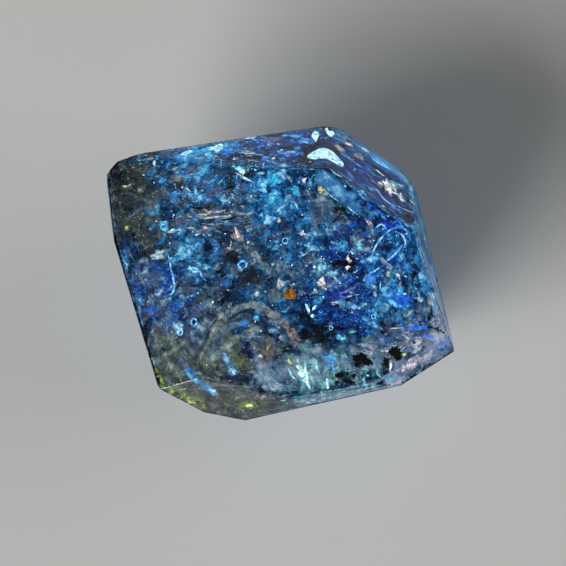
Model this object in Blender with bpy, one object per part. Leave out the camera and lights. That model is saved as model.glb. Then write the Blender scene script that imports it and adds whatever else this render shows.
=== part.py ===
"""Petroleum quartz: one stubby crystal of clear quartz, grown free on all sides and lying on a flat face.

The crystal is cut from a block by its natural faces, the way a quartz crystal is drawn: each face is the
bearing of its normal round the upright axis, the slope of that normal from straight up, and its distance
from the crystal's middle. Growth then dresses it: striped side faces, three-sided growth hills and pits
on the broad faces, ledges along the front, and small shell-shaped chips on worn corners.
"""
import math

import bmesh
import bpy
from mathutils import Matrix, Vector

METRES_PER_MM = 0.001

# Driving sizes, in millimetres as all sizes here: the finished crystal is turned to metres at the end
TOP_HEIGHT = 4.50               # broad upper face above the middle
BASE_DEPTH = 4.70               # resting face below the middle
BLANK_SIDE = 24.0               # block that the faces are cut from
WORN_EDGE = 0.08                # width of the worn line along each edge
STEP_INSET = 0.015              # run of the little riser beside each growth stripe
STRIPE_CROWDING = 1.25          # above 1, growth stripes crowd together towards one side
STRIPE_WANDER = 0.32            # how far a stripe strays from its even place, as a share of the spacing
SAME_POINT = 1e-5               # corners closer than this are one

# Faces: bearing and slope in degrees, distance in millimetres
UPPER_FACES = {
    "back_rhomb": (85.5, 46.0, 5.84),
    "right_rhomb": (54.5, 53.0, 5.98),
    "right_prism": (17.0, 74.5, 6.90),
    "corner_rhomb": (300.5, 38.0, 8.02),
    "front_prism": (280.0, 80.0, 7.46),
    "front_rhomb": (257.5, 51.0, 7.90),
    "left_rhomb": (208.5, 27.0, 6.78),
    "low_slope": (60.5, 7.0, 4.86),
    "right_lip": (51.5, 72.0, 6.58),
}
SIDE_FACES = {
    "back_prism": (105.5, 99.0, 5.24),
    "back_corner": (77.0, 101.0, 6.32),
    "right_back": (56.0, 99.0, 6.90),
    "right_under": (8.5, 101.0, 5.96),
    "corner_under": (303.5, 106.0, 6.54),
    "front_under": (284.5, 112.0, 5.16),
    "front_left": (258.5, 108.0, 6.32),
    "left_front": (240.0, 106.0, 6.74),
    "left_prism": (195.5, 104.0, 5.88),
    "left_back": (186.5, 97.0, 6.84),
    "tip_left": (140.0, 92.0, 8.10),
    "tip_back": (110.5, 88.0, 6.52),
}
LOWER_FACES = {
    "under_front": (266.0, 134.0, 5.75),
    "under_left": (233.0, 130.0, 6.30),
    "under_back": (78.0, 129.0, 5.90),
    "under_right": (28.0, 150.0, 5.30),
    "under_corner": (318.0, 132.0, 6.60),
    "under_tip": (150.0, 128.0, 6.60),
}

# Growth stripes: face, how many stripes, depth of every second stripe
STRIPED_FACES = (
    ("right_prism", 6, 0.012),
    ("right_under", 10, 0.016),
    ("left_prism", 7, 0.010),
    ("back_prism", 6, 0.008),
    ("front_prism", 4, 0.020),
    ("front_under", 8, 0.018),
)

# Growth hills: face, place across and along the face from its middle, width, height, turn (degrees).
# Those of one face all point the same way, because the crystal's own symmetry turns them.
GROWTH_HILLS = (
    ("top", -0.1, -3.4, 3.6, 0.060, 8.0),
    ("top", 2.3, 1.3, 1.4, 0.024, 8.0),
    ("top", -3.6, 2.2, 1.1, 0.020, 8.0),
    ("top", 4.9, -2.6, 0.9, 0.018, 8.0),
    ("right_rhomb", 0.4, -0.3, 1.0, 0.020, 0.0),
    ("left_rhomb", 0.6, 0.2, 0.9, 0.018, 0.0),
    ("under_back", 0.5, 0.0, 1.3, 0.024, 60.0),
)

# Growth pits, in the same terms, with a depth in place of the height
GROWTH_PITS = (
    ("top", 4.6, 0.6, 0.55, 0.035, 68.0),
    ("top", 4.0, -0.1, 0.35, 0.025, 68.0),
    ("top", -0.6, 2.9, 0.45, 0.030, 68.0),
    ("top", -4.2, -0.6, 0.40, 0.025, 68.0),
    ("right_rhomb", -1.3, 0.2, 0.60, 0.045, 60.0),
    ("right_rhomb", 1.7, -0.2, 0.50, 0.040, 60.0),
    ("back_rhomb", 0.8, 0.1, 0.50, 0.030, 60.0),
)

# Shell-shaped chips: the faces that meet there, radius of the shell, bite
CHIPPED_CORNERS = (
    (("top", "tip_left", "left_back"), 1.6, 0.14),
    (("top", "right_prism", "right_rhomb"), 1.2, 0.09),
    (("left_rhomb", "left_prism", "left_front"), 1.3, 0.07),
    (("front_rhomb", "front_prism", "front_under"), 1.2, 0.07),
    (("corner_rhomb", "right_prism", "right_under"), 1.1, 0.07),
    (("back_rhomb", "right_rhomb", "back_corner"), 1.2, 0.08),
)


def face_normal(bearing, slope):
    """Outward direction of a crystal face."""
    turn, tip = math.radians(bearing), math.radians(slope)
    return Vector((math.sin(tip) * math.cos(turn), math.sin(tip) * math.sin(turn), math.cos(tip)))


def face_planes():
    """Every crystal face by name, as its outward normal and its distance from the middle."""
    planes = {
        "top": (Vector((0, 0, 1)), TOP_HEIGHT),
        "base": (Vector((0, 0, -1)), BASE_DEPTH),
    }
    for family in (UPPER_FACES, SIDE_FACES, LOWER_FACES):
        for name, (bearing, slope, distance) in family.items():
            planes[name] = (face_normal(bearing, slope), distance)
    return planes


def cut_crystal(planes):
    """Block cut down by one plane for each crystal face."""
    bm = bmesh.new()
    bmesh.ops.create_cube(bm, size=BLANK_SIDE)
    for normal, distance in planes.values():
        cut = bmesh.ops.bisect_plane(
            bm,
            geom=bm.verts[:] + bm.edges[:] + bm.faces[:],
            dist=SAME_POINT,
            plane_co=normal * distance,
            plane_no=normal,
            clear_outer=True,
        )
        rim = [item for item in cut["geom_cut"] if isinstance(item, bmesh.types.BMEdge)]
        bmesh.ops.contextual_create(bm, geom=rim)
    bmesh.ops.recalc_face_normals(bm, faces=bm.faces[:])
    return bm


def corner_point(planes, names):
    """Point where three crystal faces meet."""
    rows = Matrix([planes[name][0] for name in names])
    return rows.inverted() @ Vector([planes[name][1] for name in names])


def wear_edges(bm):
    """Thin worn line along every edge, but for the rim of the resting face."""
    edges = [
        edge for edge in bm.edges
        if not any(face.normal.z < -0.999 for face in edge.link_faces)
    ]
    bmesh.ops.bevel(
        bm,
        geom=edges,
        offset=WORN_EDGE,
        offset_type="WIDTH",
        segments=1,
        profile=0.5,
        affect="EDGES",
        clamp_overlap=True,
        material=-1,
    )


def broad_face(bm, normal):
    """Largest polygon that looks along a crystal face's normal."""
    facing = [face for face in bm.faces if face.normal.dot(normal) > 0.9999]
    return max(facing, key=lambda face: face.calc_area())


def stripe_face(bm, normal, count, depth):
    """Level growth stripes across a side face, every second one a shallow step down."""
    face = broad_face(bm, normal)
    level = normal.cross(Vector((0, 0, 1))).normalized()
    across = level.cross(normal).normalized()
    reach = sorted(across.dot(corner.co) for corner in face.verts)
    low, high = reach[0], reach[-1]
    for step in range(1, count):
        share = (step / count) ** STRIPE_CROWDING + STRIPE_WANDER / count * math.sin(2.4 * step)
        place = across * (low + (high - low) * share)
        strips = [f for f in bm.faces if f.normal.dot(normal) > 0.9999]
        corners = {corner for strip in strips for corner in strip.verts}
        sides = {side for strip in strips for side in strip.edges}
        bmesh.ops.bisect_plane(
            bm, geom=[*corners, *sides, *strips], dist=SAME_POINT, plane_co=place, plane_no=across
        )
    strips = [f for f in bm.faces if f.normal.dot(normal) > 0.9999]
    strips.sort(key=lambda strip: across.dot(strip.calc_center_median()))
    bmesh.ops.inset_individual(bm, faces=strips[::2], thickness=STEP_INSET, depth=-depth)


def face_frame(planes, name, across_way, along_way, turn):
    """Frame on a crystal face: level across it, up its slope, and outwards."""
    normal, distance = planes[name]
    across = Vector((1, 0, 0)) if abs(normal.z) > 0.999 else Vector((0, 0, 1)).cross(normal).normalized()
    along = normal.cross(across)
    middle = FACE_MIDDLES[name] + across * across_way + along * along_way
    middle += normal * (distance - middle.dot(normal))
    axes = Matrix((across, along, normal)).transposed().to_4x4()
    return Matrix.Translation(middle) @ axes @ Matrix.Rotation(math.radians(turn), 4, "Z")


def three_sided(name, width, height, frame, sunk):
    """Low three-sided hill, or the same shape upside down as the cutter of a pit."""
    bm = bmesh.new()
    foot = 0.25 * height
    radius = width / math.sqrt(3)
    top_share, wide_share = (0.30, 1.0) if not sunk else (1.0, 0.25)
    bmesh.ops.create_cone(
        bm,
        cap_ends=True,
        segments=3,
        radius1=radius * (wide_share if sunk else 1.0),
        radius2=radius * top_share,
        depth=height + foot,
    )
    lift = (foot - height) / 2 if sunk else (height - foot) / 2
    bmesh.ops.translate(bm, vec=(0, 0, lift), verts=bm.verts[:])
    bmesh.ops.transform(bm, matrix=frame, verts=bm.verts[:])
    return tool_object(name, bm)


def shell_bite(name, planes, corner_names, radius, bite):
    """Ball that takes a shell-shaped chip off a corner."""
    corner = corner_point(planes, corner_names)
    outward = sum((planes[n][0] for n in corner_names), Vector()).normalized()
    bm = bmesh.new()
    bmesh.ops.create_icosphere(bm, subdivisions=4, radius=radius)
    bmesh.ops.translate(bm, vec=corner + outward * (radius - bite), verts=bm.verts[:])
    return tool_object(name, bm)


def tool_object(name, bm):
    """Object that shapes the crystal and isn't part of it."""
    mesh = bpy.data.meshes.new(name)
    bmesh.ops.recalc_face_normals(bm, faces=bm.faces[:])
    bm.to_mesh(mesh)
    bm.free()
    tool = bpy.data.objects.new(name, mesh)
    tool.hide_render = True
    tool.display_type = "WIRE"
    TOOLS.objects.link(tool)
    return tool


def shape_with(crystal, tool, operation):
    """Joins a tool's shape to the crystal, or takes it off."""
    change = crystal.modifiers.new(tool.name, "BOOLEAN")
    change.operation = operation
    change.solver = "EXACT"
    change.object = tool


def quartz_material():
    """Clear quartz: glassy, faintly blue-grey."""
    material = bpy.data.materials.new("clear_quartz")
    material.use_nodes = True
    shader = material.node_tree.nodes["Principled BSDF"]
    shader.inputs["Base Color"].default_value = (0.10, 0.22, 0.42, 1.0)
    shader.inputs["Roughness"].default_value = 0.05
    shader.inputs["Metallic"].default_value = 0.0
    shader.inputs["IOR"].default_value = 1.544
    shader.inputs["Transmission Weight"].default_value = 0.8
    return material


for old in list(bpy.data.objects):
    bpy.data.objects.remove(old, do_unlink=True)

CRYSTAL = bpy.data.collections.new("petroleum_quartz")
TOOLS = bpy.data.collections.new("cutters")
bpy.context.scene.collection.children.link(CRYSTAL)
bpy.context.scene.collection.children.link(TOOLS)

PLANES = face_planes()
shape = cut_crystal(PLANES)
FACE_MIDDLES = {name: broad_face(shape, normal).calc_center_median() for name, (normal, _) in PLANES.items()}
wear_edges(shape)
for face, stripes, stripe_depth in STRIPED_FACES:
    stripe_face(shape, PLANES[face][0], stripes, stripe_depth)

bmesh.ops.recalc_face_normals(shape, faces=shape.faces[:])
bmesh.ops.triangulate(shape, faces=shape.faces[:])
crystal = bpy.data.objects.new("quartz_crystal", bpy.data.meshes.new("quartz_crystal"))
shape.to_mesh(crystal.data)
shape.free()
CRYSTAL.objects.link(crystal)

for number, (face, across, along, width, height, turn) in enumerate(GROWTH_HILLS, 1):
    spot = face_frame(PLANES, face, across, along, turn)
    shape_with(crystal, three_sided(f"growth_hill_{number}", width, height, spot, sunk=False), "UNION")
for number, (face, across, along, width, depth, turn) in enumerate(GROWTH_PITS, 1):
    spot = face_frame(PLANES, face, across, along, turn)
    shape_with(crystal, three_sided(f"growth_pit_{number}", width, depth, spot, sunk=True), "DIFFERENCE")
for number, (corner_names, radius, bite) in enumerate(CHIPPED_CORNERS, 1):
    shape_with(crystal, shell_bite(f"chip_{number}", PLANES, corner_names, radius, bite), "DIFFERENCE")

finished = bpy.data.meshes.new_from_object(crystal.evaluated_get(bpy.context.evaluated_depsgraph_get()))
crystal.modifiers.clear()
crystal.data = finished
crystal.data.materials.clear()
crystal.data.materials.append(quartz_material())
for tool in list(TOOLS.objects):
    bpy.data.objects.remove(tool, do_unlink=True)
bpy.data.collections.remove(TOOLS)

# The crystal stands with its resting face at height 0 and the middle of its footprint at the origin
reach = [[corner.co[axis] for corner in finished.vertices] for axis in range(3)]
stand = Vector((
    (min(reach[0]) + max(reach[0])) / 2,
    (min(reach[1]) + max(reach[1])) / 2,
    min(reach[2]),
))
finished.transform(Matrix.Scale(METRES_PER_MM, 4) @ Matrix.Translation(-stand))
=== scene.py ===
import math
import random
from functools import partial

import bmesh
import bpy
from mathutils import Euler, Matrix, Vector, noise
from mathutils.bvhtree import BVHTree


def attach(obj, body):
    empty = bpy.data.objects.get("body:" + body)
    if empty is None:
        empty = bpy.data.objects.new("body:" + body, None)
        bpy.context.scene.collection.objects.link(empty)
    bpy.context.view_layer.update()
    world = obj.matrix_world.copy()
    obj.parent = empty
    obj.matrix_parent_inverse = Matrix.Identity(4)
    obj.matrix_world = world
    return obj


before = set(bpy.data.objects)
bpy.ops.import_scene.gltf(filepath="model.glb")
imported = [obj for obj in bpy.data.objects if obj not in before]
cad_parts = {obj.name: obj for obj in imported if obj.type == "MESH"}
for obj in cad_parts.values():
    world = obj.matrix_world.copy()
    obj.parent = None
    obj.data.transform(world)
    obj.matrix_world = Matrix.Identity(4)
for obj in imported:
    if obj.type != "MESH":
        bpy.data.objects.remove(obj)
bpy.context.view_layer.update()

# --- Camera ---
# A long lens looks steeply down on the crystal's broad upper face. Places in
# the view are given below in millimetres right of and above MIDDLE.
MM = 0.001
CAMERA_RISE = math.radians(78)
CAMERA_AWAY = 400 * MM
VIEW_WIDTH = 25.47 * MM
VIEW_DROP = 0.54 * MM
NEAREST_SHOWN = 10 * MM
FARTHEST_SHOWN = 5000 * MM
MIDDLE = Vector((0.13, 0.55, 4.70)) * MM
LOOK = Vector((0, math.cos(CAMERA_RISE), -math.sin(CAMERA_RISE)))
VIEW_UP = Vector((0, math.sin(CAMERA_RISE), math.cos(CAMERA_RISE)))
VIEW_RIGHT = Vector((1, 0, 0))

lens = bpy.data.cameras.new("camera")
lens.lens = lens.sensor_width * CAMERA_AWAY / VIEW_WIDTH
lens.clip_start = NEAREST_SHOWN
lens.clip_end = FARTHEST_SHOWN
camera = bpy.data.objects.new("camera", lens)
camera.location = MIDDLE - VIEW_UP * VIEW_DROP - LOOK * CAMERA_AWAY
camera.rotation_euler = LOOK.to_track_quat("-Z", "Y").to_euler()
bpy.context.scene.collection.objects.link(camera)
bpy.context.scene.camera = camera

# --- The crystal ---
# One growth of rock crystal with its own faces, clear and faintly smoky. Its
# surface is as grown: glassy, with the finest growth steps and etching on it.
QUARTZ_IOR = 1.544
SMOKE_COLOUR = "#46849c"
SMOKE_DENSITY = 430  # per metre
ETCHING_GRAIN = 0.5  # width of an etched dimple, mm
ETCHING_RELIEF = 0.02  # mm


def linear(colour):
    """Linear RGBA of an sRGB hex colour."""
    parts = [int(colour[place:place + 2], 16) / 255 for place in (1, 3, 5)]
    return (*(c / 12.92 if c <= 0.04045 else ((c + 0.055) / 1.055) ** 2.4 for c in parts), 1.0)


def per_mm(size):
    """Pattern scale whose features are about this many millimetres apart."""
    return 1 / (size * MM)


def link(source, node, socket):
    """Links an output, or the first output of a node, to this input of another node."""
    output = source if isinstance(source, bpy.types.NodeSocket) else source.outputs[0]
    node.id_data.links.new(output, node.inputs[socket])


def add_node(material, kind, inputs=None, stops=None, **settings):
    """Adds a shader node with its settings, the stops of its colour ramp, and its inputs' values or links."""
    made = material.node_tree.nodes.new("ShaderNode" + kind)
    for name, value in settings.items():
        setattr(made, name, value)
    for number, (place, colour) in enumerate((stops or {}).items()):
        if number > 1:
            made.color_ramp.elements.new(place)
        made.color_ramp.elements[number].position = place
        made.color_ramp.elements[number].color = linear(colour)
    for name, value in (inputs or {}).items():
        if isinstance(value, (bpy.types.Node, bpy.types.NodeSocket)):
            link(value, made, name)
        else:
            made.inputs[name].default_value = value
    return made


def new_material(name, inputs):
    """Material of one Principled shader with these values, and that shader."""
    material = bpy.data.materials.new(name)
    material.use_nodes = True
    shader = material.node_tree.nodes["Principled BSDF"]
    for socket, value in inputs.items():
        shader.inputs[socket].default_value = value
    return material, shader


# Rock crystal, as grown: clear and glassy, with sharp mirrored lights; its smoke cools what shows through it.
quartz, quartz_shader = new_material("rock_crystal", {
    "Base Color": (1, 1, 1, 1),
    "Roughness": 0.02,
    "IOR": QUARTZ_IOR,
    "Transmission Weight": 1.0,
})
smoke = add_node(quartz, "VolumeAbsorption", {"Color": linear(SMOKE_COLOUR), "Density": SMOKE_DENSITY})
link(smoke, quartz.node_tree.nodes["Material Output"], "Volume")
quartz_place = add_node(quartz, "TexCoord").outputs["Object"]
etching = add_node(quartz, "TexNoise", {"Vector": quartz_place, "Scale": per_mm(ETCHING_GRAIN),
                                        "Detail": 4.0, "Roughness": 0.55})
etched = add_node(quartz, "Bump", {"Height": etching, "Strength": 0.10, "Distance": ETCHING_RELIEF * MM})
link(etched, quartz_shader, "Normal")
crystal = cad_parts["quartz_crystal"]
crystal.data.materials.clear()
crystal.data.materials.append(quartz)

# --- Healed fractures ---
# Cracks that the growing quartz sealed again, each a thin curved sheet of oil
# and water films. Where a film is full it glows blue; where it is empty the
# sheet is clear.
ABOVE = 50  # mm above the crystal, where lines of sight start
CLEARANCE = 0.05 * MM  # least quartz between a film and the surface
SHALLOWEST = 0.35  # least depth of a drifting film or drop, mm
RIPPLE = 0.5  # how far a sheet bends off its plane, mm
RIPPLES = 0.9  # ripples per mm
TEARS = ((5, 1.1, 0.4), (9, 2.8, 0.3))  # noise layer, waves per mm and reach of its rim's tears
RIM_FADE = 0.55  # outer part of a sheet in which its oil thins out

crystal_bm = bmesh.new()
crystal_bm.from_mesh(crystal.data)
SURFACE = BVHTree.FromBMesh(crystal_bm)
crystal_bm.free()


def seen_at(right, up, depth):
    """Point in the quartz, depth mm along the line of sight that shows at this place in the view.

    The line bends where it enters the quartz. Off the crystal there is no such point.
    """
    start = MIDDLE + (VIEW_RIGHT * right + VIEW_UP * up) * MM - LOOK * ABOVE * MM
    spot, normal, _, _ = SURFACE.ray_cast(start, LOOK)
    if spot is None:
        return None
    facing = -LOOK.dot(normal)
    bend = facing / QUARTZ_IOR - math.sqrt(1 - (1 - facing ** 2) / QUARTZ_IOR ** 2)
    return spot + (LOOK / QUARTZ_IOR + normal * bend) * depth * MM


def is_inside(point, clearance=CLEARANCE):
    """Whether a point lies in the quartz, clear of its surface."""
    if point is None:
        return False
    near, normal, _, distance = SURFACE.find_nearest(point)
    return distance > clearance and (point - near).dot(normal) < 0


def make_piece(name, data, material):
    """Object whose place is in its mesh or curve, riding on the crystal's body."""
    data.materials.append(material)
    piece = bpy.data.objects.new(name, data)
    bpy.context.scene.collection.objects.link(piece)
    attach(piece, "root")


def shaped_piece(name, bm, material):
    """Piece made of a finished bmesh, which is freed."""
    mesh = bpy.data.meshes.new(name)
    bm.to_mesh(mesh)
    bm.free()
    make_piece(name, mesh, material)


def sheet(name, steps, spot, material):
    """Sheet shaped by spot(u, v), which gives a point and how full of oil the sheet is there."""
    bm = bmesh.new()
    bmesh.ops.create_grid(bm, x_segments=steps[0], y_segments=steps[1], size=1)
    cover = bm.verts.layers.float.new("cover")
    outside = []
    for vert in bm.verts:
        place, vert[cover] = spot(vert.co.x, vert.co.y)
        if is_inside(place):
            vert.co = place
        else:
            outside.append(vert)
    bmesh.ops.delete(bm, geom=outside, context="VERTS")
    shaped_piece(name, bm, material)


SCALE_SHARE = 0.55  # width of a scale, to that of the coarse patches
BEND_SHARE = 0.5  # how far the scales' rims wander, to the same
FILLED = 0.60  # thickness where a sheet is full, as the colour stops count it
GAP_RIM = 0.14  # how much thicker than in a gap the film is where it's opaque


def haze(name, stops, coarse, fine, opacity, glow, lean=0.45, scale_step=0.16, gaps=0.42, rough=0.58,
         streak=1.0, turn=0.0, soft=True):
    """Oil haze with colour stops from thin to thick film, patch sizes in mm, opacity and glow.

    lean is the fine patches' share and scale_step how much one scale differs from the next. There are clear
    gaps where the film is thinner than gaps. streak draws it out along a turn in degrees. A soft one thins
    out with the sheet's cover.
    """
    material, shader = new_material(name, {
        "Base Color": (0, 0, 0, 1),
        "Roughness": 0.5,
        "Specular IOR Level": 0.0,
        "Emission Strength": glow,
    })
    add = partial(add_node, material)
    whole = add("TexCoord").outputs["Object"]
    place = add("Mapping", {"Vector": whole, "Rotation": (0, 0, math.radians(turn)), "Scale": (streak, 1, 1)},
                vector_type="TEXTURE")
    broad = add("TexNoise", {"Vector": place, "Scale": per_mm(coarse), "Detail": 6.0, "Roughness": rough,
                             "Distortion": 0.6})
    small = add("TexNoise", {"Vector": place, "Scale": per_mm(fine), "Detail": 3.0, "Roughness": 0.6,
                             "Distortion": 1.0})
    warped = add("VectorMath", {0: small.outputs["Color"], 1: [coarse * BEND_SHARE * MM] * 3, 2: place},
                 operation="MULTIPLY_ADD")
    scales = add("TexVoronoi", {"Vector": warped, "Scale": per_mm(coarse * SCALE_SHARE)}).outputs["Color"]
    step = add("MapRange", {"Value": scales, "To Min": -scale_step / 2, "To Max": scale_step / 2})
    mixed = add("Mix", {"Factor": lean, 2: broad, 3: small})
    filled = add("Math", {0: mixed, 1: step})
    if soft:
        cover = add("Attribute", attribute_name="cover").outputs["Fac"]
        thin = add("Math", {0: cover, 1: 1.0}, operation="SUBTRACT")
        filled = add("Math", {0: thin, 1: FILLED - gaps, 2: filled}, operation="MULTIPLY_ADD")
        solid = add("MapRange", {"Value": filled, "From Min": gaps, "From Max": gaps + GAP_RIM,
                                 "To Max": opacity}, interpolation_type="SMOOTHSTEP")
        link(add("Math", {0: solid, 1: cover}, operation="MULTIPLY"), shader, "Alpha")
    link(add("ValToRGB", {"Fac": filled}, stops=stops), shader, "Emission Color")
    return material


# Petroleum glows from dark blue, where its film is thin, to white, where it's thick. Grey-blue, pale and
# lilac hazes are mostly water, and look milky. Old, heavy oil is olive or nearly black.
BLUE_STOPS = {0.38: "#050f22", 0.46: "#0d3468", 0.52: "#1a64a4", 0.58: "#3a9cd4", 0.66: "#b8f0ff"}
DEEP_STOPS = {0.38: "#040a20", 0.46: "#0a2464", 0.52: "#14469e", 0.58: "#2a7cd4", 0.66: "#98dcff"}
SLATE_STOPS = {0.36: "#10161e", 0.45: "#28384c", 0.52: "#46607c", 0.59: "#7496ac", 0.68: "#dceef4"}
OLD_STOPS = {0.36: "#0c1013", 0.45: "#20272a", 0.52: "#384040", 0.59: "#586260", 0.68: "#a8b4a4"}
OLIVE_STOPS = {0.34: "#1e282a", 0.43: "#3c4a4a", 0.51: "#60706c", 0.59: "#90a294", 0.68: "#dce6cc"}
ICE_STOPS = {0.34: "#1f4250", 0.43: "#3c7080", 0.51: "#66a0ac", 0.59: "#9cd4d8", 0.68: "#f6ffff"}
LILAC_STOPS = {0.34: "#2c3a54", 0.43: "#506a8c", 0.51: "#7c94b4", 0.59: "#b0bccc", 0.68: "#f0ecf0"}
SKY_STOPS = {0.36: "#0f3558", 0.44: "#1c5c8c", 0.51: "#347fb0", 0.58: "#60acd4", 0.67: "#c4f0ff"}
VIVID_STOPS = {0.36: "#0a3878", 0.44: "#1060b0", 0.51: "#1f8ce0", 0.58: "#58ccf4", 0.66: "#d8ffff"}

blue_haze = haze("blue_oil_haze", BLUE_STOPS, 0.80, 0.24, 0.92, 1.15)
deep_haze = haze("deep_blue_oil_haze", DEEP_STOPS, 0.70, 0.22, 0.92, 1.2)
vivid_haze = haze("vivid_blue_oil_haze", VIVID_STOPS, 0.45, 0.16, 0.92, 1.15, gaps=0.40)
slate_haze = haze("grey_blue_oil_haze", SLATE_STOPS, 0.90, 0.26, 0.88, 1.1, gaps=0.40, rough=0.5)
olive_haze = haze("olive_oil_haze", OLIVE_STOPS, 0.90, 0.24, 0.85, 0.95, scale_step=0.06, gaps=0.34,
                  rough=0.48)
old_haze = haze("dark_oil_haze", OLD_STOPS, 0.60, 0.12, 0.90, 1.1, scale_step=0.06, gaps=0.36, rough=0.5)
ice_haze = haze("pale_water_haze", ICE_STOPS, 0.35, 0.14, 0.88, 1.1, scale_step=0.08, gaps=0.38, streak=2.5,
                turn=97)
lilac_haze = haze("lilac_water_haze", LILAC_STOPS, 0.90, 0.26, 0.88, 0.9, lean=0.3, scale_step=0.04,
                  gaps=0.34, rough=0.48)
sky_haze = haze("azure_oil_haze", SKY_STOPS, 0.55, 0.25, 0.92, 1.0, scale_step=0.08, gaps=0.36)
streak_haze = haze("streaked_oil_haze", SLATE_STOPS, 0.30, 0.12, 0.92, 1.2, streak=4.0, turn=2)
slant_haze = haze("slanted_oil_haze", DEEP_STOPS, 0.30, 0.12, 0.96, 1.0, gaps=0.32, streak=5.0, turn=-37)
steep_haze = haze("steep_oil_haze", BLUE_STOPS, 0.30, 0.12, 0.92, 1.1, streak=5.0, turn=-74)

# right, up and depth of the middle, and half width and height, in mm; degrees of turn; material;
# mm of depth gained per mm across and up, where they aren't the usual ones
FRACTURES = (
    (-3.3, 3.4, 1.1, 3.2, 2, -10, blue_haze, 0.1, -0.15),
    (-4.3, 3.8, 0.6, 2.2, 1.4, 10, blue_haze),
    (-4.6, 0.6, 1.4, 2.1, 2.8, 10, slate_haze, 0.25, 0.1),
    (-4, 1, 0.7, 2, 2, 30, blue_haze, 0.1, -0.1),
    (-2, 1.6, 2.2, 2.8, 2.4, 25, slate_haze, -0.2, 0.3),
    (-2.9, 2.3, 0.6, 2.3, 0.9, 4, streak_haze, 0.05, 0.2),
    (-0.4, 3, 0.7, 1.6, 2.4, -20, blue_haze, 0.2, 0.1),
    (0.6, 1.7, 1, 2.6, 2.6, -25, blue_haze, 0.25, -0.2),
    (1.6, 2.8, 0.8, 1.6, 1.2, -35, slate_haze),
    (0.2, -0.2, 0.9, 2, 1.4, 20, slate_haze, 0.05, 0.1),
    (2.6, 0.3, 1.8, 3, 2.2, 30, deep_haze, -0.3, -0.2),
    (3.2, 1.6, 0.8, 1.8, 1, -40, slate_haze),
    (4.8, 0.2, 0.8, 1.7, 2.6, -14, blue_haze, 0.3, 0.1),
    (2.7, -1.8, 1.2, 2.4, 2, -20, deep_haze, 0.1, 0.25),
    (4.4, -1.7, 0.6, 2, 1.6, 10, blue_haze, 0.2, 0.2),
    (5.4, -2.2, 1, 1.8, 1.6, 10, slate_haze, 0.2, 0.2),
    (-5.6, -1.2, 0.9, 1.4, 2.8, 12, deep_haze, -0.3, 0.1),
    (-4.8, -2.6, 0.6, 1.6, 1.8, 12, slate_haze),
    (-3.4, -1.6, 1.3, 1.8, 1.6, 0, slate_haze, 0.15, 0.15),
    (1.4, -4.3, 0.7, 2.6, 1.3, 12, ice_haze, 0.1, 0.3),
    (3.4, -4.3, 1, 2.2, 1.2, 12, ice_haze),
    (0.6, -3.6, 1.4, 1.8, 1.4, 12, slate_haze),
    (5.6, -3.6, 0.6, 2.2, 1.2, 26, lilac_haze, 0.1, 0.2),
    (4.6, -3.4, 1.1, 2.4, 1.4, 20, lilac_haze),
    (-6.6, 3.2, 0.5, 1.5, 2.4, 5, old_haze, -0.1, 0.1),
    (-6.4, 2.6, 1.1, 1.6, 2.8, 5, old_haze, -0.2, 0.1),
    (-4.2, -4.2, 0.7, 2.4, 1.8, -20, olive_haze),
    (-1.6, -3.5, 1, 2.6, 1.8, 10, slate_haze, 0.1, 0.2),
    (-2.2, -5.4, 0.4, 2.8, 0.9, 0, old_haze, 0.1, 0.2),
    (-0.4, -4.9, 0.5, 1.8, 0.9, 0, slate_haze, 0.1, 0.2),
    (-5.9, 3, 0.5, 0.8, 0.6, 10, sky_haze),
    (-3.3, 5.3, 0.4, 2, 0.5, 10, vivid_haze),
    (-0.6, 3.7, 0.5, 1.1, 1, 30, vivid_haze),
    (5, -1.1, 0.5, 1.1, 0.8, -15, vivid_haze),
    (-2.6, -3.4, 0.7, 1.8, 1.5, 10, olive_haze),
    (-5.3, -3.4, 0.4, 1, 1.7, 14, olive_haze),
    (-5.2, -2, 0.5, 1.4, 1.5, 14, slate_haze),
    (-6.3, -0.2, 0.4, 0.9, 1.9, 16, slate_haze),
    (6.9, -3.2, 0.4, 0.9, 0.8, 10, lilac_haze),
    (1.6, -5, 0.4, 2.6, 0.6, 10, ice_haze),
    (1, -4.2, 0.5, 3.2, 1.2, 8, lilac_haze, 0.05, 0.1),
    (0.4, -0.4, 4.4, 5.6, 4.8, 20, blue_haze, 0.55, -0.15),
    (-0.6, 1, 5.4, 5.6, 4.6, -30, deep_haze, -0.5, 0.25),
    (-0.2, 0.2, 7, 5.2, 4.4, 10, slate_haze, 0.1, 0.4),
)


def oval_sheet(name, right, up, depth, across, along, turn, material, sink=0.1, rise=0.1, steps=(36, 36)):
    """Sheet whose ragged outline in the view is an oval, sloping down into the quartz."""
    cosine = math.cos(math.radians(turn))
    sine = math.sin(math.radians(turn))
    drift = Vector((right, up, depth)) * 3

    def spot(u, v):
        x = u * across
        y = v * along
        ripple = noise.noise(Vector((x, y, 0)) * RIPPLES + drift) * RIPPLE
        place = seen_at(right + x * cosine - y * sine, up + x * sine + y * cosine,
                        max(SHALLOWEST, depth + x * sink + y * rise + ripple))
        rim = math.hypot(u, v)
        for layer, waves, reach in TEARS:
            rim += noise.noise(Vector((x, y, layer)) * waves + drift) * reach
        return place, min(1.0, max(0.0, (1.0 - rim) / RIM_FADE))

    sheet(name, steps, spot, material)


for number, values in enumerate(FRACTURES, 1):
    oval_sheet(f"healed_fracture_{number}", *values)

# --- Side fractures ---
# The same films just inside the side faces, all the way round, and painted
# edge highlights: a fine pale line glowing just under each edge.
EDGE_DEPTH = 0.10  # least depth of a film along a face or an edge, mm
SIDE_FADE = 2  # how steeply a ribbon's oil thins out to its sides
END_FADE = 5  # the same to its ends
CURTAIN_FADE = 3  # the same for a curtain's rim


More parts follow.
